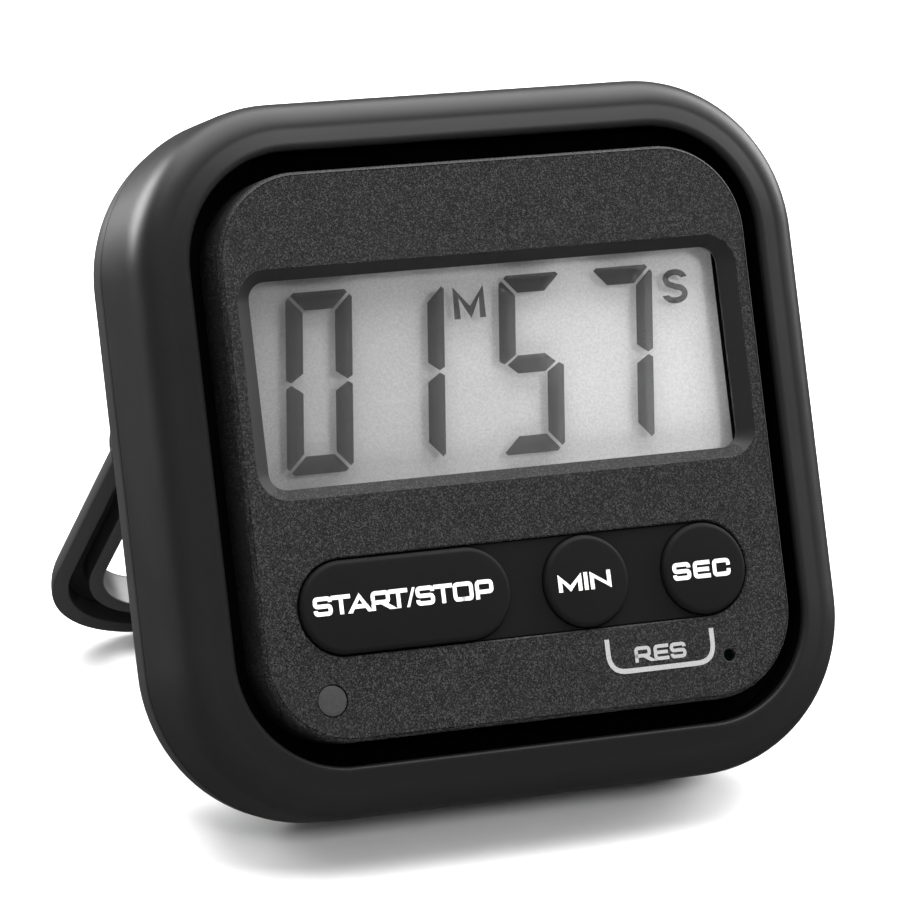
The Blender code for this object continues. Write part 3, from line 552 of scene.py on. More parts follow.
def face_centres(made):
    """The middles of an object's faces, in the case's frame, in millimetres."""
    centres = np.empty(3 * len(made.data.polygons), np.float32)
    made.data.polygons.foreach_get("center", centres)
    return centres.reshape(-1, 3).astype(float) @ AXES.T / MM - ORIGIN


def paint_shade_on_deep_faces(made, from_y, inset_from, inset_to):
    """Gives the faces deeper than from_y, between two insets of the case's outline, the second material, a
    near-black painted shade.
    """
    local = face_centres(made)
    corner_x = np.abs(local[:, 0]) - (CASE_HALF_X - CASE_CORNER)
    corner_z = np.abs(local[:, 2]) - (CASE_HALF_Z - CASE_CORNER)
    reach = np.hypot(np.maximum(corner_x, 0), np.maximum(corner_z, 0))
    reach = np.where((corner_x < 0) | (corner_z < 0), np.maximum(corner_x, corner_z), reach)
    inset = CASE_CORNER - reach
    deep = (local[:, 1] > from_y) & (inset > inset_from) & (inset < inset_to)
    made.data.polygons.foreach_set("material_index", deep.astype(np.int32))
    print(made.name, "has", int(deep.sum()), "faces in the groove")


# painted shade: the faces deep in the groove round the panel get the near-black second material
paint_shade_on_deep_faces(ring, LIP_Y + LIP_ROUND + 0.3, LIP_INSET - 0.1, SHELF_INSET + 0.1)
settle(ring, SOFT_TOUCH, "soft_touch_charcoal", "case", "front_housing")

# %% [markdown]
# ## The face panel
#
# The panel is a tray with a rounded rim, and just inside the rim a hairline step runs round it. The
# display opening has sloping sides, the keypad strip shows through a pill-shaped slot, and a lamp
# hole and a small hole sit in the lower corners. The tray is one loft; the openings are carved with
# lofts of the same kind, so their edges stay crisp.

# %% Face panel
PANEL_INSET, PANEL_EDGE, PANEL_EDGE_Y = 7.45, 0.3, 0.28
PANEL_SKIRT, PANEL_THICK = 1.2, 1.4
RIM_STEP, RIM_STEP_DEEP = 0.1, 0.09
VIEW_HALF_X, VIEW_LOW, VIEW_HIGH = 25.45, -2.9, 17.5
VIEW_CORNER, VIEW_BEVEL_CORNER = 1.8, 3.2
VIEW_BEVEL_X, VIEW_BEVEL_Z, VIEW_BEVEL_Y = 1.6, 1.1, 1.1
KEY_Z, KEY_RADIUS, SLOT_CLEAR = -14.8, 4.6, 0.2
START_LEFT, START_RIGHT, MIN_X, SEC_X = -19.7, -6.5, 6.4, 19.4
LAMP_X, LAMP_Z, LAMP_RADIUS, LAMP_CLEAR = -21.95, -23.7, 1.5, 0.12
PINHOLE_X, PINHOLE_Z, PINHOLE_RADIUS = 21.2, -23.7, 0.62

rim = PANEL_INSET + PANEL_EDGE
panel_profile = softened(
    [(rim + 4.0, 0.0), (rim + RIM_STEP, 0.0), (rim + RIM_STEP / 2, RIM_STEP_DEEP), (rim, 0.0),
     (PANEL_INSET, PANEL_EDGE_Y), (PANEL_INSET, GROOVE_Y - 0.3), (PANEL_INSET + PANEL_SKIRT, GROOVE_Y - 0.3),
     (PANEL_INSET + PANEL_SKIRT, PANEL_THICK), (rim + 4.0, PANEL_THICK)],
    [0, 0, 0, 0.06, 0.45, 0, 0, 0, 0], steps=6)
PANEL_THROUGH = PANEL_THICK + 1  # where the openings' cutters end, clear of the panel's back
panel = mesh_object("panel_plate", [around_case(panel_profile)])
view_z, view_half_z = (VIEW_LOW + VIEW_HIGH) / 2, (VIEW_HIGH - VIEW_LOW) / 2
view_rows = []
VIEW_STEPS = ((2.0, -VIEW_BEVEL_Y), (1.03, -0.03), (0.97, 0.05), (0.0, VIEW_BEVEL_Y), (0.0, PANEL_THROUGH))
for share, y in VIEW_STEPS:
    corner = VIEW_CORNER + share * (VIEW_BEVEL_CORNER - VIEW_CORNER)
    half_x, half_z = VIEW_HALF_X + share * VIEW_BEVEL_X, view_half_z + share * VIEW_BEVEL_Z
    view_rows.append(rounded_ring(half_x, half_z, corner, [(0.0, y)], view_z))
view_cut = np.concatenate(view_rows)
slot_profile = [(-0.25, -0.1), (0.0, 0.12), (0.0, PANEL_THROUGH)]
slot_cut = pill_ring(START_LEFT, SEC_X, KEY_RADIUS + SLOT_CLEAR, slot_profile, KEY_Z)
lamp_hole = LAMP_RADIUS + LAMP_CLEAR
lamp_cut = turned(LAMP_X, LAMP_Z, [(lamp_hole, -1.0), (lamp_hole, PANEL_THROUGH)])
pin_profile = [(PINHOLE_RADIUS + 0.2, -0.06), (PINHOLE_RADIUS, 0.14), (PINHOLE_RADIUS, PANEL_THROUGH)]
pin_cut = turned(PINHOLE_X, PINHOLE_Z, pin_profile)
for opening in (view_cut, slot_cut, lamp_cut, pin_cut):
    carve(panel, "DIFFERENCE", [skin(opening)], sharp=24)
panel.data.materials.append(PANEL_TEXTURE)
panel.data.materials.append(BEVEL_BLACK)
local = face_centres(panel)
in_view = np.abs(local[:, 0]) < VIEW_HALF_X + VIEW_BEVEL_X
in_view &= np.abs(local[:, 2] - view_z) < view_half_z + VIEW_BEVEL_Z
sloping = in_view & (local[:, 1] > 0.07) & (local[:, 1] < PANEL_THICK - 0.02) & (local[:, 2] > VIEW_LOW)
panel.data.polygons.foreach_set("material_index", sloping.astype(np.int32))
settle(panel, PANEL_TEXTURE, "textured_black", "case", "face_panel")

# %% [markdown]
# ## The keypad strip and the keys
#
# The strip is one rubber moulding with a hole for each key; the keys stand a little proud of the
# panel with a softly rounded edge and a flat top. Each key rides on its own body, so it
# can be pressed. The holes leave a thin dark line round each key.

# %% Keypad strip
SHEET_Y, SHEET_BACK, SHEET_GAP = 0.3, 2.4, 0.05
SHEET_FLANGE = 1.0
KEY_GAP = 0.1
sheet_profile = softened(
    [(0.6, SHEET_Y), (0.0, SHEET_Y), (0.0, PANEL_THICK + 0.1), (-SHEET_FLANGE, PANEL_THICK + 0.1),
     (-SHEET_FLANGE, SHEET_BACK)],
    [0, 0.15, 0, 0, 0])
sheet_grid = pill_ring(START_LEFT, SEC_X, KEY_RADIUS + SLOT_CLEAR - SHEET_GAP, sheet_profile, KEY_Z)
sheet = mesh_object("keypad_strip", [skin(sheet_grid)])
KEYS = {
    "start_stop_button": (START_LEFT, START_RIGHT),
    "min_button": (MIN_X, MIN_X),
    "sec_button": (SEC_X, SEC_X),
}
hole_profile = [(0, SHEET_Y - 1), (0, SHEET_BACK + 1)]
key_holes = [skin(pill_ring(left, right, KEY_RADIUS + KEY_GAP, hole_profile, KEY_Z))
             for left, right in KEYS.values()]
carve(sheet, "DIFFERENCE", key_holes)
settle(sheet, KEY_RUBBER, "key_rubber", "case", "keypad_sheet")

# %% Keys
KEY_PROUD, KEY_EDGE = 0.4, 0.55
KEY_FLANGE, KEY_FLANGE_Y, KEY_FLANGE_BACK = 0.6, 2.7, 3.2


def key_cap(name, left, right):
    """A pill whose edge rolls in a quarter circle from the side to a flat top, on a wider flange."""
    rise = np.radians(np.linspace(0, 90, 9))
    edge = np.stack([KEY_EDGE * (1 - np.cos(rise)), -KEY_PROUD + KEY_EDGE * (1 - np.sin(rise))], -1)
    flange = [(1.0, KEY_FLANGE_BACK), (-KEY_FLANGE, KEY_FLANGE_BACK),
              (-KEY_FLANGE, KEY_FLANGE_Y), (0.0, KEY_FLANGE_Y)]
    cap = pill_ring(left, right, KEY_RADIUS, np.concatenate([flange, edge]), KEY_Z)
    return mesh_object(name.replace("button", "cap"), [skin(cap)])


for node, (left, right) in KEYS.items():
    body = node.replace("button", "key")
    settle(key_cap(node, left, right), KEY_RUBBER, "key_rubber", body, node)

# %% [markdown]
# ## Lettering
#
# The words on such a timer are printed in a wide, squared style: START/STOP, MIN, SEC and, under a
# bracket, RES. Each letter is a few strokes on a unit square, and each stroke is a ribbon: the line
# is offset to both sides along its mitred normals and given the thickness of ink. Strokes with a
# round corner pass through the same softening as the profiles.

# %% Strokes and letters
INK = 0.03
LETTERS = {
    "S": (1.11, [[(1, 0.9), (1, 1), (0, 1), (0, 0.5), (1, 0.5), (1, 0), (0, 0), (0, 0.1)]]),
    "T": (1.13, [[(0, 1), (1, 1)], [(0.5, 1), (0.5, 0)]]),
    "A": (1.32, [[(0, 0), (0.5, 1), (1, 0)], [(0.26, 0.26), (0.74, 0.26)]]),
    "R": (1.25, [[(0, 0), (0, 1), (0.9, 1), (0.9, 0.38), (0, 0.38)], [(0.5, 0.38), (1, 0)]]),
    "/": (0.4, [[(0, -0.02), (1, 1.02)]]),
    "O": (1.23, [[(0.5, 0), (0, 0), (0, 1), (1, 1), (1, 0), (0.5, 0)]]),
    "P": (1.08, [[(0, 0), (0, 1), (1, 1), (1, 0.34), (0, 0.34)]]),
    "M": (1.45, [[(0, 0), (0, 1), (0.5, 0.05), (1, 1), (1, 0)]]),
    "I": (0.0, [[(0, 0), (0, 1)]]),
    "N": (1.25, [[(0, 0), (0, 1), (1, 0), (1, 1)]]),
    "E": (1.02, [[(1, 1), (0, 1), (0, 0), (1, 0)], [(0, 0.5), (0.92, 0.5)]]),
    "C": (1.08, [[(1, 0.78), (1, 1), (0, 1), (0, 0), (1, 0), (1, 0.22)]]),
}
SHARP_LETTERS = "AMNT/"
KERNING = {"ST": -0.1, "TA": -0.26, "AR": 0.04, "RT": -0.34, "T/": -0.22, "OP": 0.2}
STROKE_STEP = 0.003  # each stroke stands this much prouder than the one before, so that none share a face


def ribbon(line, width, y, limits=None, thick=INK):
    """A closed flat ribbon along a line of (x, z) points at depth y.

    At each point the two edges lie half the width away along the mean of the neighbouring normals,
    divided by the cosine of half the bend, so that the ribbon keeps its width through a corner. An
    end that is not lying flat is cut level, and no edge goes past the two limits in z.
    """
    line = np.asarray(line, float)
    step = np.diff(line, axis=0)
    step /= np.linalg.norm(step, axis=1)[:, None]
    normal = np.stack([-step[:, 1], step[:, 0]], -1)
    mitre = np.concatenate([normal[:1], normal[:-1] + normal[1:], normal[-1:]])
    mitre /= np.linalg.norm(mitre, axis=1)[:, None]
    bend = np.concatenate([[1.0], (mitre[1:-1] * normal[1:]).sum(1), [1.0]])
    offset = mitre * (width / 2 / np.maximum(bend, 0.3))[:, None]
    for end in (0, -1):
        if abs(step[end, 1]) > 0.3:
            offset[end] = [-width / 2 / step[end, 1], 0]
    grid = np.empty((len(line), 4, 3))
    for column, (side, depth) in enumerate(((1, y - thick), (1, y), (-1, y), (-1, y - thick))):
        grid[:, column, 0] = line[:, 0] + side * offset[:, 0]
        grid[:, column, 1] = depth
        grid[:, column, 2] = line[:, 1] + side * offset[:, 1]
    if limits is not None:
        grid[..., 2] = np.clip(grid[..., 2], *limits)
    return skin(grid)


def word(text, left, centre_z, cap, width, gap, y, total):
    """Ribbons for a word of cap height cap, stretched along x to fill total.

    A stroke's line stops half its width short of the letter's edges; its two ends are then carried
    on by that much, so that every stroke ends squarely on the letter's edge.
    """
    lines, x, before = [], 0.0, ""
    for letter in text:
        x += KERNING.get(before + letter, 0.0)
        wide, strokes = LETTERS[letter]
        wide = wide * (cap - width)
        for stroke in strokes:
            points = np.array(stroke) * [wide, cap - width] + [x + width / 2, -(cap - width) / 2]
            lines.append((letter, points))
        x += wide + width + gap
        before = letter
    stretch = (total - width) / (x - gap - width)
    skins = []
    for number, (letter, points) in enumerate(lines):
        points[:, 0] = left + width / 2 + (points[:, 0] - width / 2) * stretch
        points[:, 1] += centre_z
        thin = 0.65 if letter == "/" else 1.0
        for end, inner in ((0, 1), (-1, -2)):
            way = points[end] - points[inner]
            way /= np.linalg.norm(way)
            points[end] += way * width / 2 / (abs(way[1]) if abs(way[1]) > 0.3 else 1.0)
        if letter == "O":
            points[[0, -1], 0] = points[[0, -1], 0].mean()
        soft = 0 if letter in SHARP_LETTERS else 0.3
        points = softened(points, [soft] * len(points), steps=5)
        limits = (centre_z - cap / 2, centre_z + cap / 2)
        skins.append(ribbon(points, width * thin, y - STROKE_STEP * (number % 4), limits))
    return skins


# %% Print the words and the bracket
key_top = -KEY_PROUD
WORD_STROKE, RESET_STROKE, BRACKET_STROKE = 0.41, 0.36, 0.5
WORDS = {
    "start_stop_lettering": ("START/STOP", -23.03, 19.15, -14.52, 1.88, 0.06, "start_stop_key"),
    "min_lettering": ("MIN", 3.15, 5.75, -14.8, 1.76, 0.2, "min_key"),
    "sec_lettering": ("SEC", 15.75, 6.4, -14.88, 1.76, 0.24, "sec_key"),
}
for name, (text, left, total, middle_z, cap, gap, body) in WORDS.items():
    made = mesh_object(name, word(text, left, middle_z, cap, WORD_STROKE, gap, key_top, total))
    settle(made, WHITE_INK, "key_rubber", body)

BRACKET_LEFT, BRACKET_RIGHT, BRACKET_TOP, BRACKET_LOW = 7.83, 19.4, -20.8, -24.14
bracket_line = softened(
    [(BRACKET_LEFT, BRACKET_TOP), (BRACKET_LEFT, BRACKET_LOW),
     (BRACKET_RIGHT, BRACKET_LOW), (BRACKET_RIGHT, BRACKET_TOP)],
    [0, 1.9, 1.9, 0], steps=10)
res = word("RES", 10.7, -22.62, 1.58, RESET_STROKE, 0.14, 0.0, 5.7)
bracket = mesh_object("reset_bracket", [ribbon(bracket_line, BRACKET_STROKE, 0.0), *res])
settle(bracket, GREY_INK, "textured_black", "case")

# %% [markdown]
# ## The display
#
# The digits are seven-segment shapes that lean a few degrees. They lie in the liquid crystal, in
# front of the back sheet, and let some light through, so they throw a soft shadow on the sheet just
# behind them. Building the segments as thin plates at their true distance from the sheet gives that
# shadow by itself.

# %% Segment shapes
DIGIT_W, DIGIT_H, SEGMENT_W, SEGMENT_GAP = 7.05, 17.85, 1.8, 0.24
DIGIT_LEAN = 0.112
DIGIT_CORNER = 0.8
DIGIT_LOW = -1.52


def segments():
    """The outlines of the seven segments of one upright digit, centred on x = 0, from z = 0 up.

    Neighbours meet on 45 degree lines from the inner corners, pulled apart by the gap, and the
    outer corners are cut. The lower half is the upper half turned over.
    """
    outer, inner, top = DIGIT_W / 2, DIGIT_W / 2 - SEGMENT_W, DIGIT_H
    cut, gap, mid = DIGIT_CORNER, SEGMENT_GAP, DIGIT_H / 2
    a = [(-outer + cut, top), (outer - cut, top), (outer - cut / 2 - gap / 2, top - cut / 2 + gap / 2),
         (inner - gap, top - SEGMENT_W), (-inner + gap, top - SEGMENT_W),
         (-outer + cut / 2 + gap / 2, top - cut / 2 + gap / 2)]
    tip = outer - 0.3 * SEGMENT_W
    b = [(outer, top - cut), (outer, mid + gap / 2 + 0.3), (tip, mid + gap / 2),
         (inner, mid + gap / 2 + 0.85), (inner, top - SEGMENT_W - gap),
         (outer - cut / 2 + gap / 2, top - cut / 2 - gap / 2)]
    g = [(-tip + gap + 0.1, mid), (-inner + 0.25, mid + SEGMENT_W / 2), (inner - 0.25, mid + SEGMENT_W / 2),
         (tip - gap - 0.1, mid), (inner - 0.25, mid - SEGMENT_W / 2), (-inner + 0.25, mid - SEGMENT_W / 2)]
    upper = {"a": np.array(a), "b": np.array(b), "g": np.array(g)}
    flip_x, flip_z = np.array([-1, 1]), np.array([1, -1])
    drop = np.array([0, DIGIT_H])
    return {
        "a": upper["a"], "b": upper["b"], "g": upper["g"], "f": upper["b"] * flip_x,
        "c": upper["b"] * flip_z + drop, "e": upper["b"] * flip_x * flip_z + drop,
        "d": upper["a"] * flip_z + drop}


SHAPES = segments()
LIT = {"0": "abcdef", "1": "bc", "5": "afgcd", "7": "abc"}


def plate(outline, y, thick):
    """A flat prism over an outline of (x, z) points, from depth y to y plus its thickness."""
    outline = np.asarray(outline, float)
    grid = np.empty((2, len(outline), 3))
    grid[..., 0] = outline[:, 0]
    grid[..., 2] = outline[:, 1]
    grid[0, :, 1] = y
    grid[1, :, 1] = y + thick
    return skin(grid)


# %% Lit segments and the two small letters
window_back = case_box("display_window")[1][1]
cell_front = case_box("lcd_cell")[0][1]
DIGIT_Y = (window_back + cell_front) / 2
FILM = 0.04
DIGIT_PLACES = (("0", -18.4), ("1", -8.5), ("5", 4.5), ("7", 14.45))
lit = []
for digit, middle in DIGIT_PLACES:
    for key in LIT[digit]:
        shape = SHAPES[key].copy()
        shape[:, 0] += middle + (shape[:, 1] - DIGIT_H / 2) * DIGIT_LEAN
        shape[:, 1] += DIGIT_LOW
        lit.append(plate(shape, DIGIT_Y, FILM))
SMALL_LOW, SMALL_HIGH = 12.4, 15.6
small_m = [(-2.95, SMALL_LOW), (-2.87, SMALL_HIGH), (-1.45, SMALL_LOW + 0.5),
           (-0.1, SMALL_HIGH), (-0.18, SMALL_LOW)]
lit.append(ribbon(small_m, 0.66, DIGIT_Y + FILM, (SMALL_LOW, SMALL_HIGH), FILM))
turn = np.radians(np.linspace(15, 262, 26))
upper_s = np.stack([21.35 + 1.05 * np.cos(turn), 14.62 + 0.68 * np.sin(turn)], -1)
lower_s = np.stack([21.2 - 1.1 * np.cos(turn[::-1]), 13.14 - 0.7 * np.sin(turn[::-1])], -1)
small_s = np.concatenate([upper_s[:-1], lower_s])
lit.append(ribbon(small_s, 0.62, DIGIT_Y + FILM, None, FILM))
digits = mesh_object("display_segments", lit)
settle(digits, SEGMENT, "display_glass", "case")
for clear in ("display_window", "lcd_cell"):
    bpy.data.objects[clear].visible_shadow = False  # clear glass throws no shadow on the sheet behind it

# %% [markdown]
# ## The lamp
#
# The signal lamp is a plain 3 mm round lens, almost flush, with a softly domed end.

# %% Lamp lens
lens_back = case_box("signal_led")[1][1] - 2.5
dome = np.radians(np.linspace(90, 0, 10))
LAMP_EDGE_Y, LAMP_RISE = 0.1, 0.1
lens = np.stack([LAMP_RADIUS * np.cos(dome), LAMP_EDGE_Y - LAMP_RISE * np.sin(dome)], -1)
lens[0, 0] = 0.02
lens_profile = np.concatenate([lens, [(LAMP_RADIUS, lens_back), (0.5, lens_back)]])
lamp = mesh_object("lamp_lens", [skin(turned(LAMP_X, LAMP_Z, lens_profile))])
settle(lamp, LAMP_LENS, "lamp_lens", "case", "signal_led")

# %% [markdown]
# ## The rear cover
#
# The back half is a shallow tub whose side draws in towards the back, with a raised island that the
# folded stand lies round. The island carries the battery door, two magnets and the sound holes. The
# tub and the island are lofts, joined and then hollowed and pierced.

# %% Rear cover
low, high = case_box("rear_cover")
REAR_SEAM_Y, ISLAND_Y = low[1], high[1]
REAR_Y, REAR_EDGE, REAR_PLATE, REAR_WALL = 17.0, 0.6, 1.6, 2.3
STAND_HALF_X, STAND_CORNER, STAND_BAR, STAND_THICK, STAND_LENGTH = 35.0, 15.0, 5.54, 3.7, 38.0
ISLAND_TOP, ISLAND_TOP_CORNER, ISLAND_WALL, ISLAND_EDGE, ISLAND_CLEAR = 29.0, 4.0, 1.5, 0.8, 0.4
HINGE_Z = 4.08
HINGE_Y = 19.15
ISLAND_HALF_X = STAND_HALF_X - STAND_BAR - ISLAND_CLEAR
ISLAND_CORNER = STAND_CORNER - STAND_BAR - ISLAND_CLEAR
ISLAND_LOW = HINGE_Z - STAND_LENGTH + STAND_BAR + ISLAND_CLEAR
BAY_HALF_X, BAY_HALF_Z, BAY_WALL, BAY_FLOOR, CELL_Z = 26.2, 5.9, 1.6, 9.55, 20.1
DOOR_MARGIN = 1.0
MAGNET_X, MAGNET_Z, MAGNET_RADIUS = 17.0, -12.0, 5.0
SCREW_X, SCREW_TOP, SCREW_LOW = 32.0, 16.0, -20.0

REAR_SQUARENESS = 0.6  # the power that turns the side's quarter circle into a squarer curve
draw = np.radians(np.linspace(6, 84, 12))
drawn_in = 1 - np.cos(draw) ** REAR_SQUARENESS
drawn_back = np.sin(draw) ** REAR_SQUARENESS
back_edge = np.stack([
    0.08 + REAR_EDGE * drawn_in / drawn_in[-1],
    REAR_SEAM_Y + 0.5 + (REAR_Y - REAR_SEAM_Y - 0.5) * drawn_back / drawn_back[-1]], -1)
tub_front = [(6.0, REAR_SEAM_Y), (0.25, REAR_SEAM_Y), (0.08, REAR_SEAM_Y + 0.15)]
tub_profile = np.concatenate([tub_front, back_edge, [(6.0, REAR_Y)]])
cover = mesh_object("back_cover", [around_case(tub_profile)])


def island(profile):
    """A profile carried around the island: wide corners below, small ones above."""
    half_z, middle = (ISLAND_TOP - ISLAND_LOW) / 2, (ISLAND_TOP + ISLAND_LOW) / 2
    return rounded_ring(ISLAND_HALF_X, half_z, ISLAND_CORNER, profile, middle, ISLAND_TOP_CORNER, faces=16)


island_profile = softened(
    [(0.0, REAR_Y - REAR_PLATE / 2), (0.0, ISLAND_Y), (3.0, ISLAND_Y)], [0, ISLAND_EDGE, 0], steps=8)
carve(cover, "UNION", [skin(island(island_profile))])
tub_hollow = around_case([(REAR_WALL, REAR_SEAM_Y - 1), (REAR_WALL, REAR_Y - REAR_PLATE)])
carve(cover, "DIFFERENCE", [tub_hollow])
island_hollow = island([(ISLAND_WALL, REAR_SEAM_Y - 0.5), (ISLAND_WALL, ISLAND_Y - ISLAND_WALL)])
carve(cover, "DIFFERENCE", [skin(island_hollow)])
bay_x, bay_z = BAY_HALF_X + BAY_WALL - 0.3, BAY_HALF_Z + BAY_WALL
screw_places = [(x, z) for x in (-SCREW_X, SCREW_X) for z in (SCREW_TOP, SCREW_LOW)]
ISLAND_MIDDLE = ISLAND_Y - ISLAND_WALL / 2  # half way through the island's top, where its solids join it
solids = [block(
    (-bay_x, BAY_FLOOR - BAY_WALL, CELL_Z - bay_z), (bay_x, ISLAND_MIDDLE, CELL_Z + bay_z), 0.6)]
POST_RADIUS, SHANK_RADIUS, HEAD_RADIUS, HEAD_SEAT = 2.4, 1.05, 2.05, 1.7
post = [(POST_RADIUS, REAR_SEAM_Y + 0.1), (POST_RADIUS, REAR_Y - REAR_PLATE / 2)]
solids += [skin(turned(x, z, post)) for x, z in screw_places]
POCKET_DEEP = 2.3
seat = ISLAND_Y - POCKET_DEEP
boss = [(MAGNET_RADIUS + 1, seat - 1), (MAGNET_RADIUS + 1, ISLAND_MIDDLE)]
solids += [skin(turned(x, MAGNET_Z, boss)) for x in (-MAGNET_X, MAGNET_X)]
carve(cover, "UNION", solids)
holes = [block(
    (-BAY_HALF_X, BAY_FLOOR, CELL_Z - BAY_HALF_Z), (BAY_HALF_X, ISLAND_Y + 1, CELL_Z + BAY_HALF_Z), 0.5)]
bore = [(SHANK_RADIUS, REAR_SEAM_Y - 1), (SHANK_RADIUS, REAR_Y - HEAD_SEAT),
        (HEAD_RADIUS, REAR_Y - HEAD_SEAT), (HEAD_RADIUS, REAR_Y - 0.2), (HEAD_RADIUS + 0.3, REAR_Y + 0.1)]
holes += [skin(turned(x, z, bore, 32)) for x, z in screw_places]
pocket = [(MAGNET_RADIUS + 0.15, seat), (MAGNET_RADIUS + 0.15, ISLAND_Y - 0.3),
          (MAGNET_RADIUS + 0.55, ISLAND_Y + 0.1)]
holes += [skin(turned(x, MAGNET_Z, pocket)) for x in (-MAGNET_X, MAGNET_X)]
SOUND_RADIUS, SOUND_PITCH = 0.8, 4.0
sound_hole = [(SOUND_RADIUS, ISLAND_Y - ISLAND_WALL - 1), (SOUND_RADIUS, ISLAND_Y - 0.2),
              (SOUND_RADIUS + 0.3, ISLAND_Y + 0.1)]
holes += [skin(turned(SOUND_PITCH * number, MAGNET_Z, sound_hole, 24)) for number in range(-2, 3)]
carve(cover, "DIFFERENCE", holes)
seat_x, seat_z = BAY_HALF_X + DOOR_MARGIN, BAY_HALF_Z + DOOR_MARGIN
DOOR_Y = case_box("battery_door")[0][1]
door_seat = block(
    (-seat_x, DOOR_Y - 0.3, CELL_Z - seat_z), (seat_x, ISLAND_Y + 1, CELL_Z + seat_z), 1.2, 8)
carve(cover, "DIFFERENCE", [door_seat])
settle(cover, COVER_PLASTIC, "cover_grey", "case", "rear_cover")

# %% [markdown]
# ## The battery door and the magnets
#
# The door is meant as a flat lid with rounded corners and an oval thumb recess crossed by fine ribs.
# An open fault: its caps reach further in than its corners are round, so they cross themselves, the
# carving loses the plate, and only the ribs are left. The magnets are nickel discs with a small
# chamfer, set flush in their pockets.

# %% Battery door
DOOR_CORNER, DOOR_CLEAR = 1.1, 0.2
door_x, door_z = seat_x - DOOR_CLEAR, seat_z - DOOR_CLEAR
lid_profile = softened([(2.0, DOOR_Y), (0.0, DOOR_Y), (0.0, ISLAND_Y), (3.0, ISLAND_Y)], [0, 0, 0.25, 0])
lid = mesh_object("bay_lid", [skin(rounded_ring(door_x, door_z, DOOR_CORNER, lid_profile, CELL_Z, faces=10))])
thumb = pill_ring(-4.0, 4.0, 3.0, [(0.6, ISLAND_Y - 0.55), (0.0, ISLAND_Y + 0.2)], CELL_Z)
carve(lid, "DIFFERENCE", [skin(thumb)])
ribs = [block((x - 0.22, ISLAND_Y - 0.8, CELL_Z - 2.0), (x + 0.22, ISLAND_Y - 0.15, CELL_Z + 2.0), 0.2)
        for x in np.arange(-3, 4) * 1.2]
carve(lid, "UNION", ribs)
settle(lid, COVER_PLASTIC, "cover_grey", "battery_door", "battery_door")

# %% Magnets
disc_low, disc_high = ISLAND_Y - 2.0, ISLAND_Y - 0.02
disc = softened(
    [(0.05, disc_low), (MAGNET_RADIUS, disc_low), (MAGNET_RADIUS, disc_high), (0.05, disc_high)],
    [0, 0.2, 0.35, 0])
for side in ("left", "right"):
    x = -MAGNET_X if side == "left" else MAGNET_X
    magnet = mesh_object(f"magnet_disc_{side}", [skin(turned(x, MAGNET_Z, disc))])
    settle(magnet, NICKEL, "nickel", "case", f"magnet_{side}")

# %% [markdown]
# ## The stand
#
# The stand is a loop of channelled bar. Its section is drawn once, as (inset, thickness) pairs: a
# flat front with a channel, and a back that rounds away on the outside. The section is carried down
# one leg, round the two corners and up the other leg. It is drawn folded, then turned about the
# hinge by the joint's whole range, which is how it stands open.

# %% Stand
STAND_OPEN = math.radians(JOINTS["stand_fold"]["range_deg"][1])
CHANNEL_OUT, CHANNEL_WIDE, CHANNEL_DEEP = 1.78, 2.18, 2.4


def opened(points):
    """Points of the folded stand about its hinge, turned open and put in the case's frame."""
    cos, sin = math.cos(STAND_OPEN), math.sin(STAND_OPEN)
    placed = points.copy()
    placed[..., 1] = HINGE_Y + points[..., 1] * cos - points[..., 2] * sin
    placed[..., 2] = HINGE_Z + points[..., 1] * sin + points[..., 2] * cos
    return placed


def stand_section():
    """The bar's section: a channelled front, a small inner back edge and a broad outer one."""
    half = STAND_THICK / 2
    floor, channel = -half + CHANNEL_DEEP, CHANNEL_OUT + CHANNEL_WIDE
    front = softened(
        [(0.0, -half + 0.3), (0.0, -half), (CHANNEL_OUT, -half), (CHANNEL_OUT, floor),
         (channel, floor), (channel, -half), (STAND_BAR, -half), (STAND_BAR, half),
         (STAND_BAR / 2 + 0.6, half)],
        [0, 0.15, 0.2, 0.3, 0.3, 0.2, 0.25, 0.4, 0], steps=4)
    angle = np.radians(np.linspace(85, 0, 12))
    radius = STAND_THICK - 0.1
    outer = np.stack([radius * (1 - np.cos(angle)), half - radius * (1 - np.sin(angle))], -1)
    return np.concatenate([front, outer[:-1]])


def stand_path(faces=28):
    """Points of the loop's outline and the unit vectors that point into the loop, folded down."""
    turn = np.radians(np.linspace(0, 90, faces + 1))
    reach, drop = STAND_HALF_X - STAND_CORNER, STAND_LENGTH - STAND_CORNER
    across, down = np.cos(turn), np.sin(turn)
    left = np.stack([-reach - STAND_CORNER * across, -drop - STAND_CORNER * down, across, down], -1)
    right = left[::-1] * [-1, 1, -1, 1]
    ends = np.array([[-STAND_HALF_X, 0.0, 1.0, 0.0], [STAND_HALF_X, 0.0, -1.0, 0.0]])
    return np.concatenate([ends[:1], left, right, ends[1:]])


section, path = stand_section(), stand_path()
loop = np.empty((len(path), len(section), 3))
loop[..., 0] = path[:, :1] + section[:, 0] * path[:, 2:3]
loop[..., 1] = section[:, 1]
loop[..., 2] = path[:, 1:2] + section[:, 0] * path[:, 3:4]
stand = mesh_object("stand_loop", [skin(opened(loop))])
stand.data.materials.append(COVER_PLASTIC)
stand.data.materials.append(CHANNEL_PAINTED_SHADE)
# painted shade: the faces deep in the channel get the darker second material
from_channel = np.abs(section[:, 0] - CHANNEL_OUT - CHANNEL_WIDE / 2)
channel_columns = (section[:, 1] > -STAND_THICK / 2 + 0.4) & (from_channel < CHANNEL_WIDE / 2 + 0.05)
in_channel = np.zeros(len(stand.data.polygons), np.int32)
in_channel[:(len(path) - 1) * len(section)] = np.tile(channel_columns & (section[:, 1] < 1.5), len(path) - 1)
stand.data.polygons.foreach_set("material_index", in_channel)


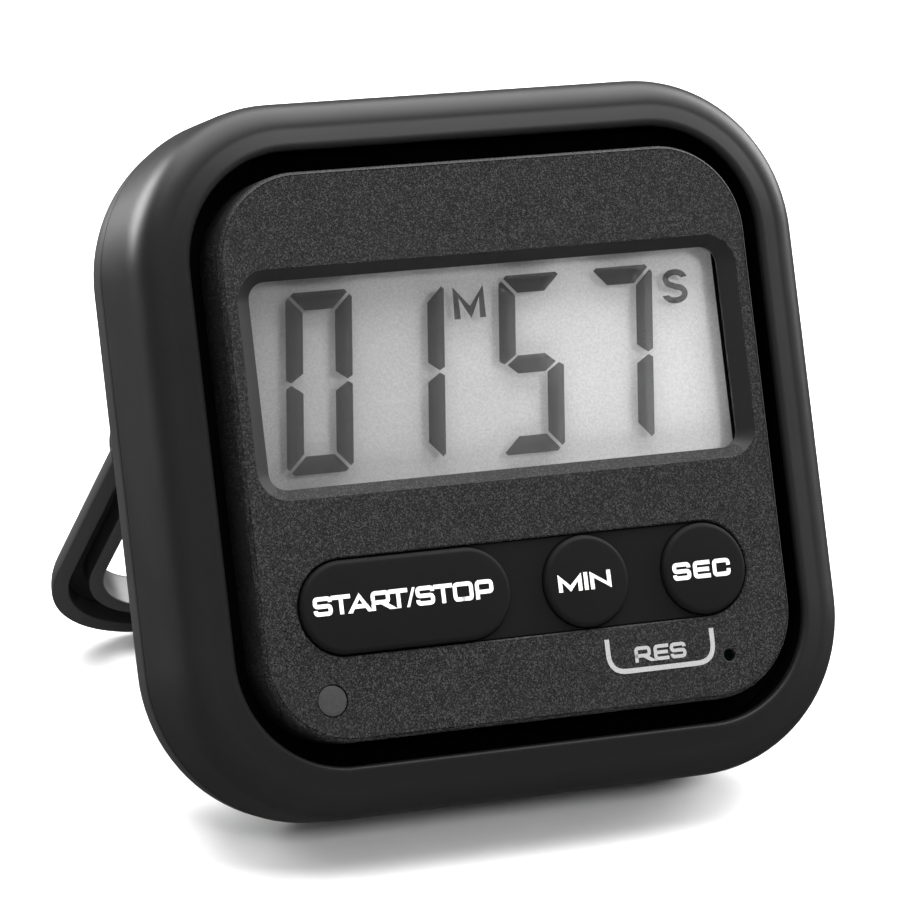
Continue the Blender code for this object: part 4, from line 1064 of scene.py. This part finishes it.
def knuckle(side):
    """The leg's end: a round about the pin, with a heel that meets the cover when the stand is open."""
    radius = STAND_THICK / 2 - 0.06
    angle = np.linspace(math.pi - STAND_OPEN, 2 * math.pi, 25)
    heel = radius * (1 + math.cos(STAND_OPEN)) / math.sin(STAND_OPEN)
    arc = np.stack([radius * np.cos(angle), radius * np.sin(angle)], -1)
    outline = np.concatenate([arc, [(radius, heel)]])
    inner = STAND_HALF_X - STAND_BAR
    grid = np.empty((2, len(outline), 3))
    grid[:, :, 0] = side * np.array([[inner + 0.12], [STAND_HALF_X - 0.75]])
    grid[:, :, 1:] = outline
    return skin(opened(grid))


carve(stand, "UNION", [knuckle(-1), knuckle(1)])


def along_x(x0, x1, radius, faces=32):
    """A round bar along x about the hinge line, as a skin."""
    turn = np.arange(faces) * 2 * math.pi / faces
    grid = np.empty((2, faces, 3))
    grid[:, :, 0] = np.array([[x0], [x1]])
    grid[:, :, 1] = HINGE_Y + radius * np.cos(turn)
    grid[:, :, 2] = HINGE_Z + radius * np.sin(turn)
    return skin(grid)


inner_face = STAND_HALF_X - STAND_BAR
bores = [along_x(*sorted((side * (inner_face - 1), side * (STAND_HALF_X - 1.1))), 1.25) for side in (-1, 1)]
carve(stand, "DIFFERENCE", bores)
settle(stand, COVER_PLASTIC, "cover_grey", "stand", "stand")

# %% [markdown]
# ## Finishes for the CAD nodes that stay
#
# The screws, the pins, the display's plates and everything inside keep their CAD shapes and only get
# a better finish.

# %% Finish the CAD nodes
KEPT = {
    "battery": SLEEVE, "battery_contact_minus": NICKEL, "battery_contact_plus": NICKEL,
    "battery_spring": NICKEL,
    "black_lead": BLACK, "red_lead": RED, "buzzer": BRASS, "circuit_board": BOARD, "display_window": WINDOW,
    "driver_chip": CHIP, "lcd_cell": CELL_GLASS, "lcd_reflector": BACK_SHEET, "zebra_strip": CONTACT,
    "stand_pin_left": STEEL, "stand_pin_right": STEEL,
}
KEPT.update({f"{kind}_screw_{number}": STEEL for kind in ("board", "case") for number in range(1, 5)})
for name, finish in KEPT.items():
    node = frame["nodes"][name]
    node.data.materials.clear()
    node.data.materials.append(finish)
print(len(KEPT), "CAD nodes keep their shape")


# %% [markdown]
# ## Floor, light and camera
#
# The timer stands on a flat white floor that reflections don't show. A large soft light overhead
# whitens the floor and the top of the ring, two more stand behind to the left and the right, a small
# one in front lights the display, and a fill from the front left softens the floor's shadow.

# %% Floor
floor_mesh = bpy.data.meshes.new("floor")
reach = 3.0
floor_corners = [(-reach, -reach, 0), (reach, -reach, 0), (reach, reach, 0), (-reach, reach, 0)]
floor_mesh.from_pydata(floor_corners, [], [(0, 1, 2, 3)])
floor = bpy.data.objects.new("floor", floor_mesh)
bpy.context.scene.collection.objects.link(floor)
floor_mesh.materials.append(moulded("floor_white", grey(0.9), grey(0.92), (0.7, 0.8), 3.0, 0.0))
floor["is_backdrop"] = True
floor.visible_glossy = False  # keeps the floor out of the timer's reflections


# %% Lights
def softbox(name, place, target, size, power):
    """A square light of the given size at a place, facing a target."""
    data = bpy.data.lights.new(name, "AREA")
    data.shape = "SQUARE"
    data.size = size
    data.energy = power
    made = bpy.data.objects.new(name, data)
    made.location = place
    made.rotation_euler = (Vector(target) - Vector(place)).to_track_quat("-Z", "Y").to_euler()
    bpy.context.scene.collection.objects.link(made)
    return made


middle = Vector(to_world(np.array([0.0, 0.0, 0.0])))
softbox("overhead", (0.15, 0.4, 1.2), middle, 1.9, 64.0)
softbox("behind_left", (-0.65, 1.0, 0.22), middle, 0.55, 20.0)
softbox("behind_right", (0.9, 0.2, 0.45), middle, 0.6, 12.0)
key_place = middle + Vector(-INWARD) * 0.9 + Vector((0.1, 0, 0.12))
front_key = softbox("front_key", key_place, middle, 0.2, 3.7)
front_key.visible_glossy = False  # it is there for the display and throws no highlight on the ring
floor_fill = softbox("floor_fill", (-0.7, -0.8, 0.9), (0.0, -0.05, 0.0), 1.2, 5.5)
floor_fill.visible_glossy = False
world = bpy.data.worlds.new("studio")
world.use_nodes = True
world.node_tree.nodes["Background"].inputs["Color"].default_value = (1.0, 1.0, 1.0, 1.0)
world.node_tree.nodes["Background"].inputs["Strength"].default_value = 0.08
bpy.context.scene.world = world
bpy.context.scene.view_settings.view_transform = "Standard"

# %% Camera
CAMERA_PLACE = (-211.1, -468.95, -25.01)  # millimetres, in the case's frame, like the two directions
CAMERA_LOOK = (0.3993, 0.91558, 0.04772)
CAMERA_UP = (0.08776, -0.08998, 0.99207)
FOCAL = 208.67
place = Vector(to_world(np.array(CAMERA_PLACE)))
look = Vector(np.array(CAMERA_LOOK) @ AXES).normalized()
right = look.cross(Vector(np.array(CAMERA_UP) @ AXES)).normalized()
top = right.cross(look)
camera_data = bpy.data.cameras.new("camera")
camera_data.lens = FOCAL
camera_data.sensor_width = 36.0
camera = bpy.data.objects.new("camera", camera_data)
camera.matrix_world = Matrix((
    (right.x, top.x, -look.x, place.x), (right.y, top.y, -look.y, place.y),
    (right.z, top.z, -look.z, place.z), (0, 0, 0, 1)))
bpy.context.scene.collection.objects.link(camera)
bpy.context.scene.camera = camera

# %% [markdown]
# ## Sizes
#
# The box of the looks is printed. In depth the looks reach a few hundredths of a millimetre past the
# CAD model.

# %% Print the box of the looks
low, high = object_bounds()
print("visual box in mm:", [round(1000 * side, 2) for side in high - low])
